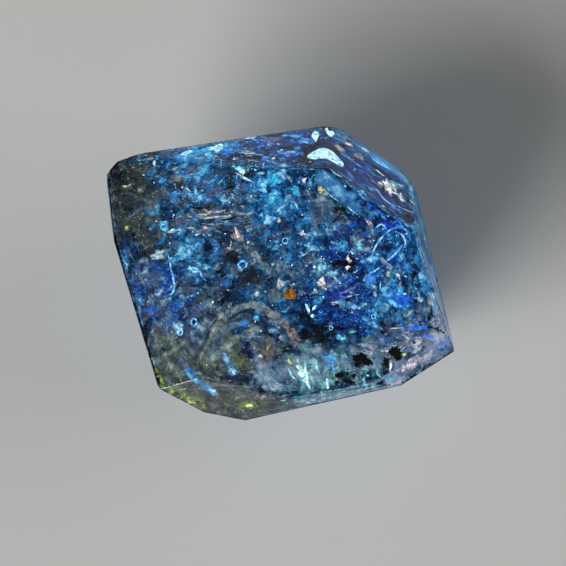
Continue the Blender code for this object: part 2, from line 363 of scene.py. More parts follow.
def smooth_path(points, closed=False, steps=5):
    """Points of a smooth curve through these points."""
    points = [Vector(point) for point in points]
    if closed:
        ring = [points[-1]] + points + points[:2]
    else:
        ring = [points[0] * 2 - points[1]] + points + [points[-1] * 2 - points[-2]]
    path = []
    for a, b, c, d in zip(ring, ring[1:], ring[2:], ring[3:]):
        for step in range(steps):
            t = step / steps
            path.append(0.5 * (2 * b + (c - a) * t + (2 * a - 5 * b + 4 * c - d) * t ** 2
                               + (3 * b - a - 3 * c + d) * t ** 3))
    return path if closed else path + [points[-1]]


def ribbon(name, path, width, depth, dive, material, wander=0.4, steps=(60, 10)):
    """Soft-edged sheet along a path in the view, diving into the quartz across its width.

    Widths, depths and places are in mm. It wanders off its path by a share of its width.
    """
    points = smooth_path(path, steps=8)
    drift = Vector((path[0][0], path[0][1], 0)) * 2

    def spot(u, v):
        reach = (u + 1) / 2 * (len(points) - 1)
        number = min(len(points) - 2, int(reach))
        here = points[number].lerp(points[number + 1], reach - number)
        side = (points[number + 1] - points[number]).normalized()
        across = (v + noise.noise(Vector((u * 4, v, 0)) + drift) * wander) * width / 2
        fade = min(1, (1 - abs(v)) * SIDE_FADE) * min(1, (1 - abs(u)) * END_FADE)
        place = seen_at(here.x - side.y * across, here.y + side.x * across,
                        max(EDGE_DEPTH, depth + dive * (v + 1) / 2))
        return place, max(0, fade)

    sheet(name, steps, spot, material)


# side; path in the view; width, depth and dive in mm; material
SIDES = (
    ("top_left", ((-5.6, 5.1), (-4, 5.45), (-2.4, 5.7), (-1, 5.9)), 1.2, 0.3, 0.6, blue_haze),
    ("top_middle", ((-1.8, 5.6), (-0.2, 5.9), (1, 6.1), (2.1, 6.2)), 1.1, 0.3, 0.5, deep_haze),
    ("back_slope", ((-1.2, 5), (0, 5.2), (1, 5.5)), 0.9, 0.5, 0.5, deep_haze),
    ("top_right", ((1.9, 6.2), (3.2, 5.8), (4.3, 5.1), (5.3, 4.4), (5.9, 3.9)), 0.8, 0.25, 0.5, sky_haze),
    ("slope", ((2.2, 5.4), (3.4, 4.5), (4.6, 3.5), (5.8, 2.6)), 1.6, 0.5, 0.5, slant_haze),
    ("right_top", ((5.6, 4.2), (5.9, 3.4), (6.1, 2.4), (6.4, 1.2)), 0.6, 0.25, 0.4, sky_haze),
    ("right_middle", ((6, 2.4), (6.35, 0.6), (6.75, -0.9), (7.1, -2.2)), 0.9, 0.25, 0.5, steep_haze),
    ("right_foot", ((6.7, -0.8), (7.05, -2), (7.3, -3.1), (7.4, -3.5)), 0.7, 0.25, 0.5, lilac_haze),
    ("front_right", ((7.9, -3.1), (7.3, -3.7), (6.4, -4.2), (5.3, -4.8), (4.2, -5.2)), 1.3, 0.2, 0.3,
     lilac_haze),
    ("front_middle", ((4.6, -5), (3.2, -5.4), (1.6, -5.7), (0.2, -6)), 0.6, 0.2, 0.3, ice_haze),
    ("front_left", ((0.6, -6), (-0.6, -6.2), (-1.6, -6.4), (-2.8, -6.2), (-4, -5.8)), 0.8, 0.2, 0.3,
     old_haze),
    ("under_ridge", ((2.9, 3.5), (3.8, 2.9), (4.7, 2.3), (5.6, 1.7)), 0.6, 0.35, 0.3, deep_haze),
    ("right_shoulder", ((5.6, 1.6), (5.9, 0.5), (6.2, -0.7), (6.6, -2)), 0.8, 0.35, 0.4, blue_haze),
    ("left_foot", ((-5.75, -5.1), (-6.1, -3.7), (-6.5, -2.3), (-6.8, -1.2)), 1.1, 0.2, 0.4, slate_haze),
    ("left_middle", ((-6.45, -2), (-6.8, -0.9), (-7.15, 0.3), (-7.45, 1.4)), 1.1, 0.2, 0.4, blue_haze),
    ("left_top", ((-7.35, 0.8), (-7.6, 2.2), (-7.75, 3.4), (-7.6, 4.4), (-6.8, 4.95)), 1, 0.2, 0.4, old_haze),
)
for side, *values in SIDES:
    ribbon(f"side_fracture_{side}", *values)


def side_wall(heading, height):
    """Point of the side faces at this heading round the crystal and height in mm, and the way out there."""
    outward = Vector((math.cos(math.radians(heading)), math.sin(math.radians(heading)), 0))
    return SURFACE.ray_cast(Vector((0, 0, height)) * MM, outward)[0], outward


def curtain(name, facing, reach, low, high, inset, material):
    """Sheet just inside the side faces, between two headings round the crystal and two heights in mm."""
    drift = Vector((math.radians(facing), low, high)) * 2

    def spot(u, v):
        wall, outward = side_wall(facing + u * reach, low + (high - low) * (v + 1) / 2)
        ripple = RIPPLE * noise.noise(Vector((u * 3, v * 2, 0)) + drift)
        rim = max(abs(u), abs(v)) + 0.3 * noise.noise(Vector((u * 3, v * 3, 7)) + drift)
        return wall - outward * (inset + ripple) * MM, min(1, max(0, (1 - rim) * CURTAIN_FADE))

    sheet(name, (60, 24), spot, material)


# heading of the middle and reach, in degrees; lowest and highest place and inset, in mm; material
CURTAINS = (
    (-78, 40, 1.4, 7.6, 0.8, slate_haze),
    (-105, 45, 1, 5, 1.5, deep_haze),
    (-50, 30, 2, 8, 1.2, blue_haze),
    (5, 45, 1.2, 8, 0.8, blue_haze),
    (70, 45, 1, 6.5, 1, deep_haze),
    (120, 40, 1.4, 7.5, 0.8, slate_haze),
    (170, 45, 1.2, 7.5, 0.9, blue_haze),
    (215, 35, 1.6, 7.8, 1, old_haze),
)
for number, values in enumerate(CURTAINS, 1):
    curtain(f"side_curtain_{number}", *values)

# Painted edge highlights: fine, even glowing lines just under the edges, azure, grey or pale.
azure_edge_highlight = haze("worn_edge_azure_oil", SKY_STOPS, 0.40, 0.14, 0.80, 0.9, scale_step=0.04, gaps=0.30)
grey_edge_highlight = haze("worn_edge_grey_oil", SLATE_STOPS, 0.40, 0.14, 0.75, 0.9, scale_step=0.04, gaps=0.32)
pale_edge_highlight = haze("worn_edge_water", LILAC_STOPS, 0.40, 0.14, 0.75, 0.9, scale_step=0.04, gaps=0.32)

# edge; path in the view; width in mm; material
PAINTED_EDGE_HIGHLIGHTS = (
    ("back", ((-5.4, 5), (-2.4, 4.78), (-0.2, 4.6), (1.9, 4.53)), 0.12, azure_edge_highlight),
    ("ridge", ((1.9, 4.55), (3.2, 3.65), (4.6, 2.66), (5.9, 1.74)), 0.14, azure_edge_highlight),
    ("right", ((5.95, 1.7), (6.1, 1.1), (6.75, -0.9), (7.4, -3)), 0.14, pale_edge_highlight),
    ("front", ((7.4, -3.05), (5.6, -4.08), (3.75, -5.12), (2.2, -5.4), (0.5, -5.68)), 0.14, pale_edge_highlight),
    ("front_left", ((0.4, -5.68), (-1.6, -5.25), (-3.7, -4.8)), 0.1, grey_edge_highlight),
    ("left", ((-3.8, -4.75), (-5, -2.6), (-6.3, -0.2), (-7.5, 2)), 0.12, grey_edge_highlight),
    ("left_rim", ((-7.75, 4.2), (-7.5, 2.1), (-6.6, -1.6), (-5.6, -5.1)), 0.14, grey_edge_highlight),
    ("top", ((-6.2, 5.2), (-3.4, 5.65), (-0.6, 6.1), (1.8, 6.47)), 0.12, azure_edge_highlight),
    ("top_right", ((2, 6.44), (2.7, 6.25), (4.1, 5.42), (5.3, 4.52), (5.9, 3.66)), 0.12, azure_edge_highlight),
    ("right_rim", ((5.92, 3.5), (6.5, 1.1), (7.05, -1.2), (7.56, -3.4)), 0.14, azure_edge_highlight),
    ("front_rim", ((7.5, -3.55), (6.4, -4.3), (5.25, -5.02), (2.6, -5.6), (-0.4, -6.3)), 0.14, pale_edge_highlight),
)
# each edge gets a painted highlight line
for side, path, width, material in PAINTED_EDGE_HIGHLIGHTS:
    ribbon(f"worn_edge_{side}", path, width, EDGE_DEPTH, EDGE_DEPTH, material, wander=0.25, steps=(90, 4))

# --- Oil drops, scales and wisps ---
# Thousands of tiny drops of petroleum lie along the fractures, among flat
# scales and bent wisps of it. They glow from blue to white.
MOTTLE = (0.35, 0.65)  # noise that makes the oil darkest and brightest
TEAR_SIZE = 0.22  # of the tears in a rim, mm
TEAR_DEPTH = 2.4  # how deep they cut into it
RIM_ENDS = (1.25, 1.95)  # where a torn rim is gone and where it's whole


def tinted_oil(name, roughness, strength, mottle, darkest, brightest, ragged=False):
    """Oil that glows in each copy's own tint, from darkest to brightest in a mottle with these noise inputs.

    Ragged oil ends in see-through rims, where a copy's cover thins out.
    """
    material, shader = new_material(name, {
        "Base Color": (0, 0, 0, 1),
        "Roughness": roughness,
        "Specular IOR Level": 0.0,
        "Emission Strength": strength,
    })
    add = partial(add_node, material)
    tint = add("Attribute", attribute_name="tint")
    place = add("TexCoord").outputs["Object"]
    light = add("MapRange", {"Value": add("TexNoise", {"Vector": place, **mottle}), "From Min": MOTTLE[0],
                             "From Max": MOTTLE[1], "To Min": darkest, "To Max": brightest})
    link(add("VectorMath", {0: tint, "Scale": light}, operation="SCALE"), shader, "Emission Color")
    if ragged:
        cover = add("Attribute", attribute_name="cover").outputs["Fac"]
        tears = add("TexNoise", {"Vector": place, "Scale": per_mm(TEAR_SIZE), "Detail": 4.0,
                                 "Roughness": 0.6})
        rim = add("Math", {0: tears, 1: TEAR_DEPTH, 2: cover}, operation="MULTIPLY_ADD")
        solid = add("MapRange", {"Value": rim, "From Min": RIM_ENDS[0], "From Max": RIM_ENDS[1],
                                 "To Max": tint.outputs["Alpha"]}, interpolation_type="SMOOTHSTEP")
        link(solid, shader, "Alpha")
    return material


# Petroleum in drops: bright glowing beads, each a little uneven.
oil_drop = tinted_oil("petroleum_drops", 0.4, 1.5, {"Scale": per_mm(0.06), "Detail": 2.0}, 0.5, 1.3)

# Petroleum in thin films: scales and wisps that mottle strongly and end in ragged rims.
oil_scale = tinted_oil("petroleum_scales", 0.5, 1.2, {"Scale": per_mm(0.12), "Detail": 5.0, "Roughness": 0.6},
                       0.25, 1.6, ragged=True)


def piece_of_copies(name, template, copies, material):
    """Piece of many copies of a small template, each with its pose and tint."""
    corners = [vert.co.copy() for vert in template.verts]
    sides = [[vert.index for vert in face.verts] for face in template.faces]
    points = [pose @ corner for pose, _ in copies for corner in corners]
    faces = [[index + copy * len(corners) for index in side] for copy in range(len(copies)) for side in sides]
    mesh = bpy.data.meshes.new(name)
    mesh.from_pydata(points, [], faces)
    tints = mesh.color_attributes.new("tint", "FLOAT_COLOR", "POINT")
    tints.data.foreach_set("color", [part for _, tint in copies for _ in corners for part in tint])
    layer = template.verts.layers.float.get("cover")
    if layer is not None:
        covers = mesh.attributes.new("cover", "FLOAT", "POINT")
        covers.data.foreach_set("value", [vert[layer] for vert in template.verts] * len(copies))
    make_piece(name, mesh, material)


def lying(place, turn, across, along, thick=1.0, tilt=(0, 0)):
    """Pose of a template at this place, along the nearest face, with half sizes in mm.

    Its first axis shows at this turn in the view. It may tilt away from the face, in radians.
    """
    _, normal, _, _ = SURFACE.find_nearest(place)
    flow = VIEW_RIGHT * math.cos(turn) + VIEW_UP * math.sin(turn)
    flow = (flow - normal * flow.dot(normal)).normalized()
    face = Matrix((flow, normal.cross(flow), normal)).transposed()
    return (Matrix.Translation(place) @ (face @ Euler((*tilt, 0)).to_matrix()).to_4x4()
            @ Matrix.Diagonal((across * MM, along * MM, thick * MM, 1)))


# A drop or speck is a small blob, a scale is a disc that thins to its rim, and a wisp is a bent strip.
blob = bmesh.new()
bmesh.ops.create_icosphere(blob, subdivisions=1, radius=1)

disc = bmesh.new()
bmesh.ops.create_circle(disc, cap_ends=True, cap_tris=True, segments=10, radius=1)
disc_cover = disc.verts.layers.float.new("cover")
for vert in disc.verts:
    vert[disc_cover] = 1 - vert.co.length

strip = bmesh.new()
bmesh.ops.create_grid(strip, x_segments=6, y_segments=2, size=1)
strip_cover = strip.verts.layers.float.new("cover")
for vert in strip.verts:
    along = vert.co.x
    vert[strip_cover] = (1 - abs(vert.co.y)) * (1 - along ** 4)
    vert.co.y = vert.co.y * (1.05 - along ** 2) + 1.6 * along ** 2

# From the common colour to the rarest.
DEEP = ("#0a2a70", "#0f3f9c", "#175cc0", "#2c84de", "#6cc4f4", "#d0f4ff")
AZURE = ("#0f3c70", "#1a5f9c", "#2a88c8", "#4fb4e4", "#9ae4fa", "#ecfdff")
SLATE = ("#2c3a50", "#465c78", "#5c5864", "#6c88a0", "#2f80c0", "#94b4c8", "#e8fbff")
ICE = ("#2f5c66", "#5a98a4", "#8cc8cc", "#c4f0f0", "#f4ffff", "#48b4e0")
OLIVE = ("#2a3032", "#465050", "#66706c", "#98a494", "#4c7ca8", "#c8d4a0")
LILAC = ("#3c4c6c", "#6c84ac", "#9cb0cc", "#c8d0dc", "#f0e8ea", "#3f84d8")

# right, up and depth of the middle, and reach across, up and in depth, in mm; degrees of turn;
# how many drops and scales; radius of a drop in mm; colours
OIL_CLOUDS = (
    (-2.8, 4.9, 0.9, 3.2, 0.8, 0.6, 6, 350, 160, 0.034, AZURE),
    (-3.4, 3.2, 1, 2.6, 1.6, 0.7, -10, 350, 260, 0.026, SLATE),
    (-4.4, 1, 1.1, 2, 2.4, 0.7, 10, 350, 260, 0.026, AZURE),
    (-1.6, 1.2, 1.3, 2.2, 2.2, 0.9, 25, 250, 240, 0.024, SLATE),
    (0.2, 2.8, 1.1, 2.2, 2.2, 0.8, -60, 450, 260, 0.03, AZURE),
    (1, 0.2, 1.2, 2.4, 2, 0.9, 30, 400, 260, 0.03, AZURE),
    (3.4, 0.6, 1, 2.4, 2, 0.8, -35, 400, 260, 0.03, DEEP),
    (3.2, -1.8, 1.1, 2.4, 1.6, 0.8, -15, 400, 240, 0.03, DEEP),
    (5.2, -0.6, 0.8, 1.4, 2.6, 0.5, -74, 300, 200, 0.028, AZURE),
    (4, 3.9, 0.8, 2.4, 1, 0.5, -40, 200, 160, 0.022, DEEP),
    (-5.8, -1, 0.8, 1.1, 2.6, 0.5, 60, 250, 200, 0.028, DEEP),
    (-3.6, -1.4, 1.1, 2.2, 1.4, 0.7, 0, 220, 200, 0.026, SLATE),
    (2.2, -4.3, 0.9, 2.8, 1, 0.6, 12, 260, 200, 0.026, ICE),
    (5.6, -3.2, 0.8, 1.8, 1.2, 0.5, 15, 200, 160, 0.024, LILAC),
    (-6.5, 3.2, 0.7, 1.3, 2.6, 0.5, 5, 700, 60, 0.013, OLIVE),
    (-3.8, -5.1, 0.5, 2.6, 1.1, 0.3, -20, 420, 120, 0.018, OLIVE),
    (-1.2, -3.6, 1, 2.2, 1.6, 0.7, 20, 120, 130, 0.022, OLIVE),
    (0, 0.5, 4, 6.5, 5, 2.5, 20, 1200, 300, 0.028, AZURE),
)
STREAK = (0.9, 0.35)  # length and width of the streaks that a cloud gathers in, mm
STREAK_EDGE = (-0.2, 0.35)  # how faint and how sure a streak's edge is
SPREAD = 0.5  # usual distance from the middle of a cloud, to its reach
TILT = 0.3  # usual tilt of a drop or scale, radians
ANY_TURN = (0, 6.28)  # radians
DROP_RARITY = 0.55  # usual reach of the drops' colours from common to rare
SCALE_RARITY = 0.42  # the same for the scales
DROP_VARIETY = 0.55  # spread of the drops' sizes, as a power of e
SCALE_VARIETY = 0.4  # the same for the scales
LARGEST_DROP = 2.4  # radius of the largest drop, to the usual one
DROP_WIDTHS = (0.3, 1)  # half width of a drop, to its half length
DROP_HEIGHTS = (0.25, 0.6)  # its half height, to the same
SCALE_SIZE = 0.18  # usual half width of a scale, mm
SCALE_LENGTH = 1.25  # half length of a scale, to that
SCALE_WIDTHS = (0.35, 1)  # half width of a scale, to the same
SCALE_SHADES = (0.15, 1.1)  # brightness of a scale
SCALE_OPACITY = (0.55, 0.95)
SCALE_ROOM = 0.7  # clear quartz round a scale, to its half width
WISP_SHARE = 0.16  # part of the scales that are wisps
WISP_LENGTHS = (0.9, 1.8)  # half length of a wisp, to the half width of a scale
WISP_BEND = 0.09  # greatest bend of a wisp, mm
WISP_OPACITY = (0.7, 1)


def rare(colours, reach):
    """Linear colour from common to rare, the rarer the farther it reaches along them."""
    return linear(colours[min(len(colours) - 1, int(abs(reach) * len(colours)))])


def a_scale(place, lean, half, colour, tilt=(0, 0)):
    """Pose and tint of a scale of about this half width in mm, drawn from the present chance."""
    pose = lying(place, lean, half * SCALE_LENGTH, half * chance.uniform(*SCALE_WIDTHS), tilt=tilt)
    return pose, (*colour[:3], chance.uniform(*SCALE_OPACITY))


all_scales = []
all_wisps = []
for number, (right, up, depth, across, along, deep, turn, drops_wanted, scales_wanted, size,
             colours) in enumerate(OIL_CLOUDS, 1):
    chance = random.Random(number)
    spin = Matrix.Rotation(math.radians(turn), 3, "Z")
    drops = []
    full = len(all_scales) + len(all_wisps) + scales_wanted
    for _ in range((drops_wanted + scales_wanted) * 10):
        spread = Vector((chance.gauss(0, SPREAD) * across, chance.gauss(0, SPREAD) * along, 0))
        streak = noise.noise(Vector((spread.x / STREAK[0], spread.y / STREAK[1], number * 7.3)))
        if streak < chance.uniform(*STREAK_EDGE):
            continue
        offset = spin @ spread
        place = seen_at(right + offset.x, up + offset.y,
                        max(SHALLOWEST, depth + chance.gauss(0, SPREAD) * deep))
        if not is_inside(place):
            continue
        colour = rare(colours, chance.gauss(0, DROP_RARITY if len(drops) < drops_wanted else SCALE_RARITY))
        tilt = (chance.gauss(0, TILT), chance.gauss(0, TILT))
        if len(drops) < drops_wanted:
            radius = size * min(LARGEST_DROP, math.exp(chance.gauss(0, DROP_VARIETY)))
            drops.append((lying(place, chance.uniform(*ANY_TURN), radius,
                                radius * chance.uniform(*DROP_WIDTHS),
                                radius * chance.uniform(*DROP_HEIGHTS), tilt), colour))
            continue
        half = SCALE_SIZE * math.exp(chance.gauss(0, SCALE_VARIETY))
        lean = math.radians(turn) + chance.gauss(0, 0.5)
        if len(all_scales) + len(all_wisps) >= full or not is_inside(place, half * SCALE_ROOM * MM):
            continue
        if chance.random() > WISP_SHARE:
            shade = chance.uniform(*SCALE_SHADES)
            all_scales.append(a_scale(place, lean, half, [part * shade for part in colour[:3]], tilt))
        else:
            bend = chance.choice((-1, 1)) * chance.uniform(WISP_BEND / 3, WISP_BEND)
            all_wisps.append((lying(place, lean, half * chance.uniform(*WISP_LENGTHS), bend),
                              (*colour[:3], chance.uniform(*WISP_OPACITY))))
    piece_of_copies(f"oil_drops_{number}", blob, drops, oil_drop)

# The same behind the side faces, in front of the side curtains.
SIDE_DROPS = 110  # drops in front of each side curtain
SIDE_SCALES = 130  # scales and wisps in front of each side curtain
SIDE_DROP_RADIUS = 0.032  # usual radius, mm
SIDE_SCALE_SIZE = 1.4  # size of a side scale, to that of one seen from above
SIDE_WISP_SHARE = 1.5  # share of wisps, to that above
SIDE_ROOM = 0.12  # clear quartz round a side drop, mm
SIDE_DEPTH = 0.25  # least distance behind the face, mm
SIDE_LOW = 0.6  # how far they reach below the curtain, mm
SIDE_SPREAD = 0.55  # usual heading from the curtain's middle, to its reach
chance = random.Random(99)
drops = []
for facing, reach, low, high, inset, _ in CURTAINS:
    for number in range(SIDE_DROPS + SIDE_SCALES):
        wall, outward = side_wall(facing + chance.gauss(0, SIDE_SPREAD) * reach,
                                  chance.uniform(low - SIDE_LOW, high))
        place = wall - outward * chance.uniform(SIDE_DEPTH, inset) * MM
        colour = rare(chance.choice((AZURE, AZURE, DEEP, SLATE)), chance.gauss(0, 0.5))
        lean = chance.gauss(0, 0.7)
        half = SCALE_SIZE * SIDE_SCALE_SIZE * math.exp(chance.gauss(0, SCALE_VARIETY))
        if not is_inside(place, SIDE_ROOM * MM):
            continue
        if number < SIDE_DROPS:
            radius = SIDE_DROP_RADIUS * min(LARGEST_DROP, math.exp(chance.gauss(0, 0.5)))
            drops.append((lying(place, lean, radius, radius * 0.8, radius * 0.5), colour))
        elif chance.random() > WISP_SHARE * SIDE_WISP_SHARE and is_inside(place, half * SCALE_ROOM * MM):
            all_scales.append(a_scale(place, lean, half, colour))
        elif is_inside(place, half * SCALE_ROOM * MM):
            all_wisps.append((lying(place, lean, half * chance.uniform(*WISP_LENGTHS),
                                    chance.uniform(-WISP_BEND, WISP_BEND)),
                              (*colour[:3], chance.uniform(*WISP_OPACITY))))
piece_of_copies("side_oil_drops", blob, drops, oil_drop)
piece_of_copies("oil_scales", disc, all_scales, oil_scale)
piece_of_copies("oil_wisps", strip, all_wisps, oil_scale)

# --- Large scales ---
# The widest scales, each in its own place: pools of bright oil, warm films of
# water, a few painted glints, and near-black scales of painted shade that make
# clear quartz between them look black.
LARGE_DEPTH = 0.23  # of the deepest large scale, mm
WISP_DEPTH = 0.13  # of the deepest large wisp, mm
LAYER = 0.0008  # how much nearer the face each next one lies, mm

# Rows in near-black, #020304 to #171a19, are painted shade: opaque dark scales where clear quartz looks
# black.
# right and up of the middle; half width and half height in mm; degrees of turn; colour; opacity
LARGE_SCALES = (
    # painted glint: a small blue-white highlight
    (-5.74, 4.8, 0.08, 0.16, 0, "#d8f0ff", 1),
    (-3, 5.49, 0.6, 0.26, 12, "#4fd0f8", 1),
    (-2.55, 5.3, 0.5, 0.22, 12, "#1f78e0", 0.9),
    (-4.6, 5.1, 0.35, 0.14, 12, "#2f90e0", 0.9),
    (-0.95, 5.98, 0.4, 0.12, 10, "#2f84e0", 0.9),
    (-3.05, 5.5, 0.24, 0.14, 12, "#eaffff", 0.95),
    (-4.24, 5.3, 0.35, 0.15, 20, "#8ee8ff", 0.95),
    (-3.7, 5.35, 0.45, 0.18, 12, "#2b8fd8", 0.9),
    (-1.48, 5.95, 0.42, 0.16, 8, "#38a4e8", 0.95),
    (-2.2, 5.6, 0.5, 0.2, 12, "#2f7fd0", 0.85),
    (-1.94, 4.57, 0.26, 0.18, -15, "#7fe8f8", 0.95),
    (-1.32, 5.64, 0.5, 0.28, 5, "#16225c", 0.85),
    (-0.55, 5.92, 0.7, 0.26, 8, "#5c5c78", 0.8),
    (0.3, 5.6, 0.7, 0.4, 8, "#1c2848", 0.7),
    (-4.78, 4.1, 0.45, 0.3, 20, "#7c7468", 0.7),
    (-4, 4.6, 0.7, 0.35, 10, "#4a5878", 0.7),
    (-3, 3.5, 0.6, 0.4, -10, "#4a5a7c", 0.7),
    (-5.32, 1.99, 0.32, 0.32, 0, "#4fb4ea", 0.85),
    (-2.97, 0.95, 0.18, 0.46, 0, "#3f8ce0", 0.9),
    (-2.25, 0.64, 0.6, 0.45, -20, "#120e0c", 0.9),
    (-2.05, 1.6, 0.3, 0.4, 20, "#a89ca0", 0.75),
    (-3.47, 1.91, 0.14, 0.1, 0, "#f0c8b8", 0.95),
    (-4.6, 2.2, 0.5, 0.3, 10, "#54607c", 0.7),
    (1.98, 6.4, 0.2, 0.1, 0, "#6fe0ff", 0.95),
    (2.95, 5.7, 0.28, 0.18, -35, "#d8c8b4", 0.9),
    (2.53, 5.5, 0.38, 0.34, -30, "#a89ca0", 0.85),
    (3.41, 5.14, 0.34, 0.24, -30, "#a4947c", 0.85),
    (3.37, 5.64, 0.1, 0.08, 0, "#3f7cf0", 0.95),
    (4.3, 5.12, 0.48, 0.2, -36, "#58b8ff", 1),
    (5.15, 4.55, 0.7, 0.26, -42, "#4f86ac", 0.95),
    # painted glints: this row and the next are pale yellow highlights
    (1.68, 3.64, 0.14, 0.24, 10, "#d8d88c", 0.95),
    (1.91, 3.52, 0.12, 0.2, 10, "#c8d0a0", 0.9),
    (1.72, 2.64, 0.85, 0.65, -35, "#33445e", 0.75),
    (2.33, 1.71, 0.22, 0.17, 0, "#1a2c9c", 0.85),
    (4.72, 2.05, 0.6, 0.16, -20, "#2438b4", 0.85),
    (0.57, 3.56, 0.24, 0.3, 30, "#3fb4e4", 0.9),
    (-0.43, 4.06, 0.38, 0.3, 0, "#2fc0e8", 0.9),
    (-0.51, 3.25, 0.24, 0.38, 0, "#4fc8ea", 0.9),
    (3.41, 1.1, 0.24, 0.2, -30, "#6fd8f4", 0.95),
    (2.75, 0.35, 0.8, 0.48, 5, "#04060c", 0.92),
    # painted glint: a yellow-white highlight dot
    (4.22, 0.72, 0.08, 0.08, 0, "#fffbe0", 1),
    (4.5, 3.62, 0.26, 0.46, 15, "#020304", 1),
    (5.05, 3.25, 0.26, 0.42, 15, "#020304", 1),
    (5.56, 3.15, 0.26, 0.5, 10, "#020304", 1),
    (-4.66, -2.5, 0.28, 0.36, 10, "#9fdcff", 0.9),
    (-6.3, -2.2, 0.15, 0.42, 15, "#6fc8f4", 0.9),
    (-6.45, -0.8, 0.34, 0.5, 15, "#24509c", 0.8),
    (-5.85, -1.7, 0.4, 0.28, 15, "#2f68b8", 0.8),
    (-5.73, -0.4, 0.5, 0.6, 15, "#4c5a70", 0.7),
    (-1.73, -2.34, 0.3, 0.24, -30, "#2a78e0", 0.9),
    (-1.2, -2.1, 0.22, 0.15, 0, "#4fc4e8", 0.95),
    (-0.43, -2.65, 0.3, 0.2, -20, "#6fa4d8", 0.9),
    (-1, -3.77, 0.13, 0.11, 0, "#e0f0e0", 1),
    (-4.19, -4.42, 0.34, 0.18, -20, "#3f78d0", 0.85),
    (-4.5, -4, 0.3, 0.22, 0, "#566ca0", 0.7),
    (-3.14, -5.36, 0.34, 0.2, -36, "#8fd8ff", 1),
    (-2.52, -3.92, 0.32, 0.17, -70, "#a4b8dc", 0.9),
    (-2.26, -4.46, 0.26, 0.2, -50, "#a4e4ff", 1),
    (-1.44, -0.27, 1.1, 0.65, -15, "#171a19", 0.88),
    (-0.4, -1.1, 0.5, 0.5, -15, "#5a6e74", 0.75),
    (-0.12, -0.58, 0.15, 0.24, 0, "#d8d8c8", 1),
    (-2.58, -0.54, 0.34, 0.28, 0, "#3466b8", 0.85),
    (-3.81, -1.73, 0.5, 0.34, 0, "#44508c", 0.65),
    (-1.58, -5.95, 0.55, 0.3, 20, "#7c9838", 0.6),
    (-1.5, -5.98, 0.2, 0.16, 0, "#e8f8a0", 0.95),
    (-3.8, -5.6, 0.6, 0.3, -25, "#5c6c38", 0.55),
    (-2, -4, 0.7, 0.5, 20, "#4c5438", 0.75),
    (-0.7, -3.6, 0.6, 0.6, 0, "#6c6458", 0.65),
    (3.93, -0.4, 0.3, 0.36, -20, "#3f8cf0", 0.9),
    (5.22, -1.26, 0.72, 0.44, -10, "#2466dc", 0.9),
    (4.85, -1.45, 0.3, 0.16, -30, "#6fd0f8", 0.9),
    (3.16, -1.6, 0.22, 0.18, 0, "#9fccff", 0.95),
    (2.47, -1, 0.6, 0.24, 25, "#1c2c8c", 0.85),
    # painted glint: a cyan highlight among the dark specks
    (2.56, -2.97, 0.28, 0.16, -30, "#6fdcf4", 0.95),
    (3.07, -2.71, 0.24, 0.13, 20, "#4fb8e0", 0.95),
    (5.99, -2.5, 0.65, 0.15, 3, "#2a6cf0", 0.95),
    (6.43, -2.89, 0.32, 0.16, 0, "#3a7cf0", 0.9),
    (2.13, -3.92, 0.4, 0.46, 0, "#4698d0", 0.9),
    (0.92, -4.6, 0.3, 0.5, 10, "#8ff0f8", 0.8),
    (4.79, -4.77, 0.46, 0.22, 10, "#5fa8d4", 0.85),
    (5.65, -4.15, 0.7, 0.3, 28, "#c8c0c8", 0.85),
    (6.4, -3.8, 0.6, 0.28, 30, "#a8a8bc", 0.8),
    (7.1, -3.3, 0.45, 0.4, 30, "#5f86c8", 0.85),
    (6.8, -2.2, 0.32, 0.55, -15, "#7f8ca0", 0.7),
    # painted glints: this row and the next are yellow-green highlights
    (6.51, -1.26, 0.16, 0.4, -12, "#8c9470", 0.8),
    (5.4, -3.7, 0.15, 0.11, 0, "#d0e060", 0.95),
    (0.5, -4.1, 0.7, 0.55, 0, "#587c80", 0.7),
    (1.6, -3, 0.8, 0.4, -25, "#0a0e0a", 0.85),
    (3.5, -3.98, 0.6, 0.42, 5, "#04070c", 0.9),
    (2.75, -4.75, 0.75, 0.42, 0, "#0a0f0c", 0.85),
    (5, -3.7, 0.34, 0.4, 10, "#05070a", 0.9),
    (-3, -5.72, 0.5, 0.2, -15, "#40382c", 0.75),
    (-2.55, -5.4, 0.5, 0.16, 0, "#141c18", 0.85),
    (-4.6, -5.32, 0.45, 0.22, -30, "#5c7030", 0.6),
    (-0.9, -5.62, 0.22, 0.14, 30, "#b8b4c8", 0.9),
    (-0.95, -5.3, 0.3, 0.14, -30, "#0c1418", 0.9),
    (-5.6, -2.6, 0.3, 0.5, 14, "#584a44", 0.6),
    (-4.4, -0.9, 0.5, 0.4, 20, "#4c4450", 0.6),
)
large_scales = []
for number, (right, up, across, along, turn, colour, opacity) in enumerate(LARGE_SCALES):
    place = seen_at(right, up, LARGE_DEPTH - number * LAYER)
    large_scales.append((lying(place, math.radians(turn), across, along), (*linear(colour)[:3], opacity)))
piece_of_copies("large_oil_scales_painted_glints_and_shade", disc, large_scales, oil_scale)
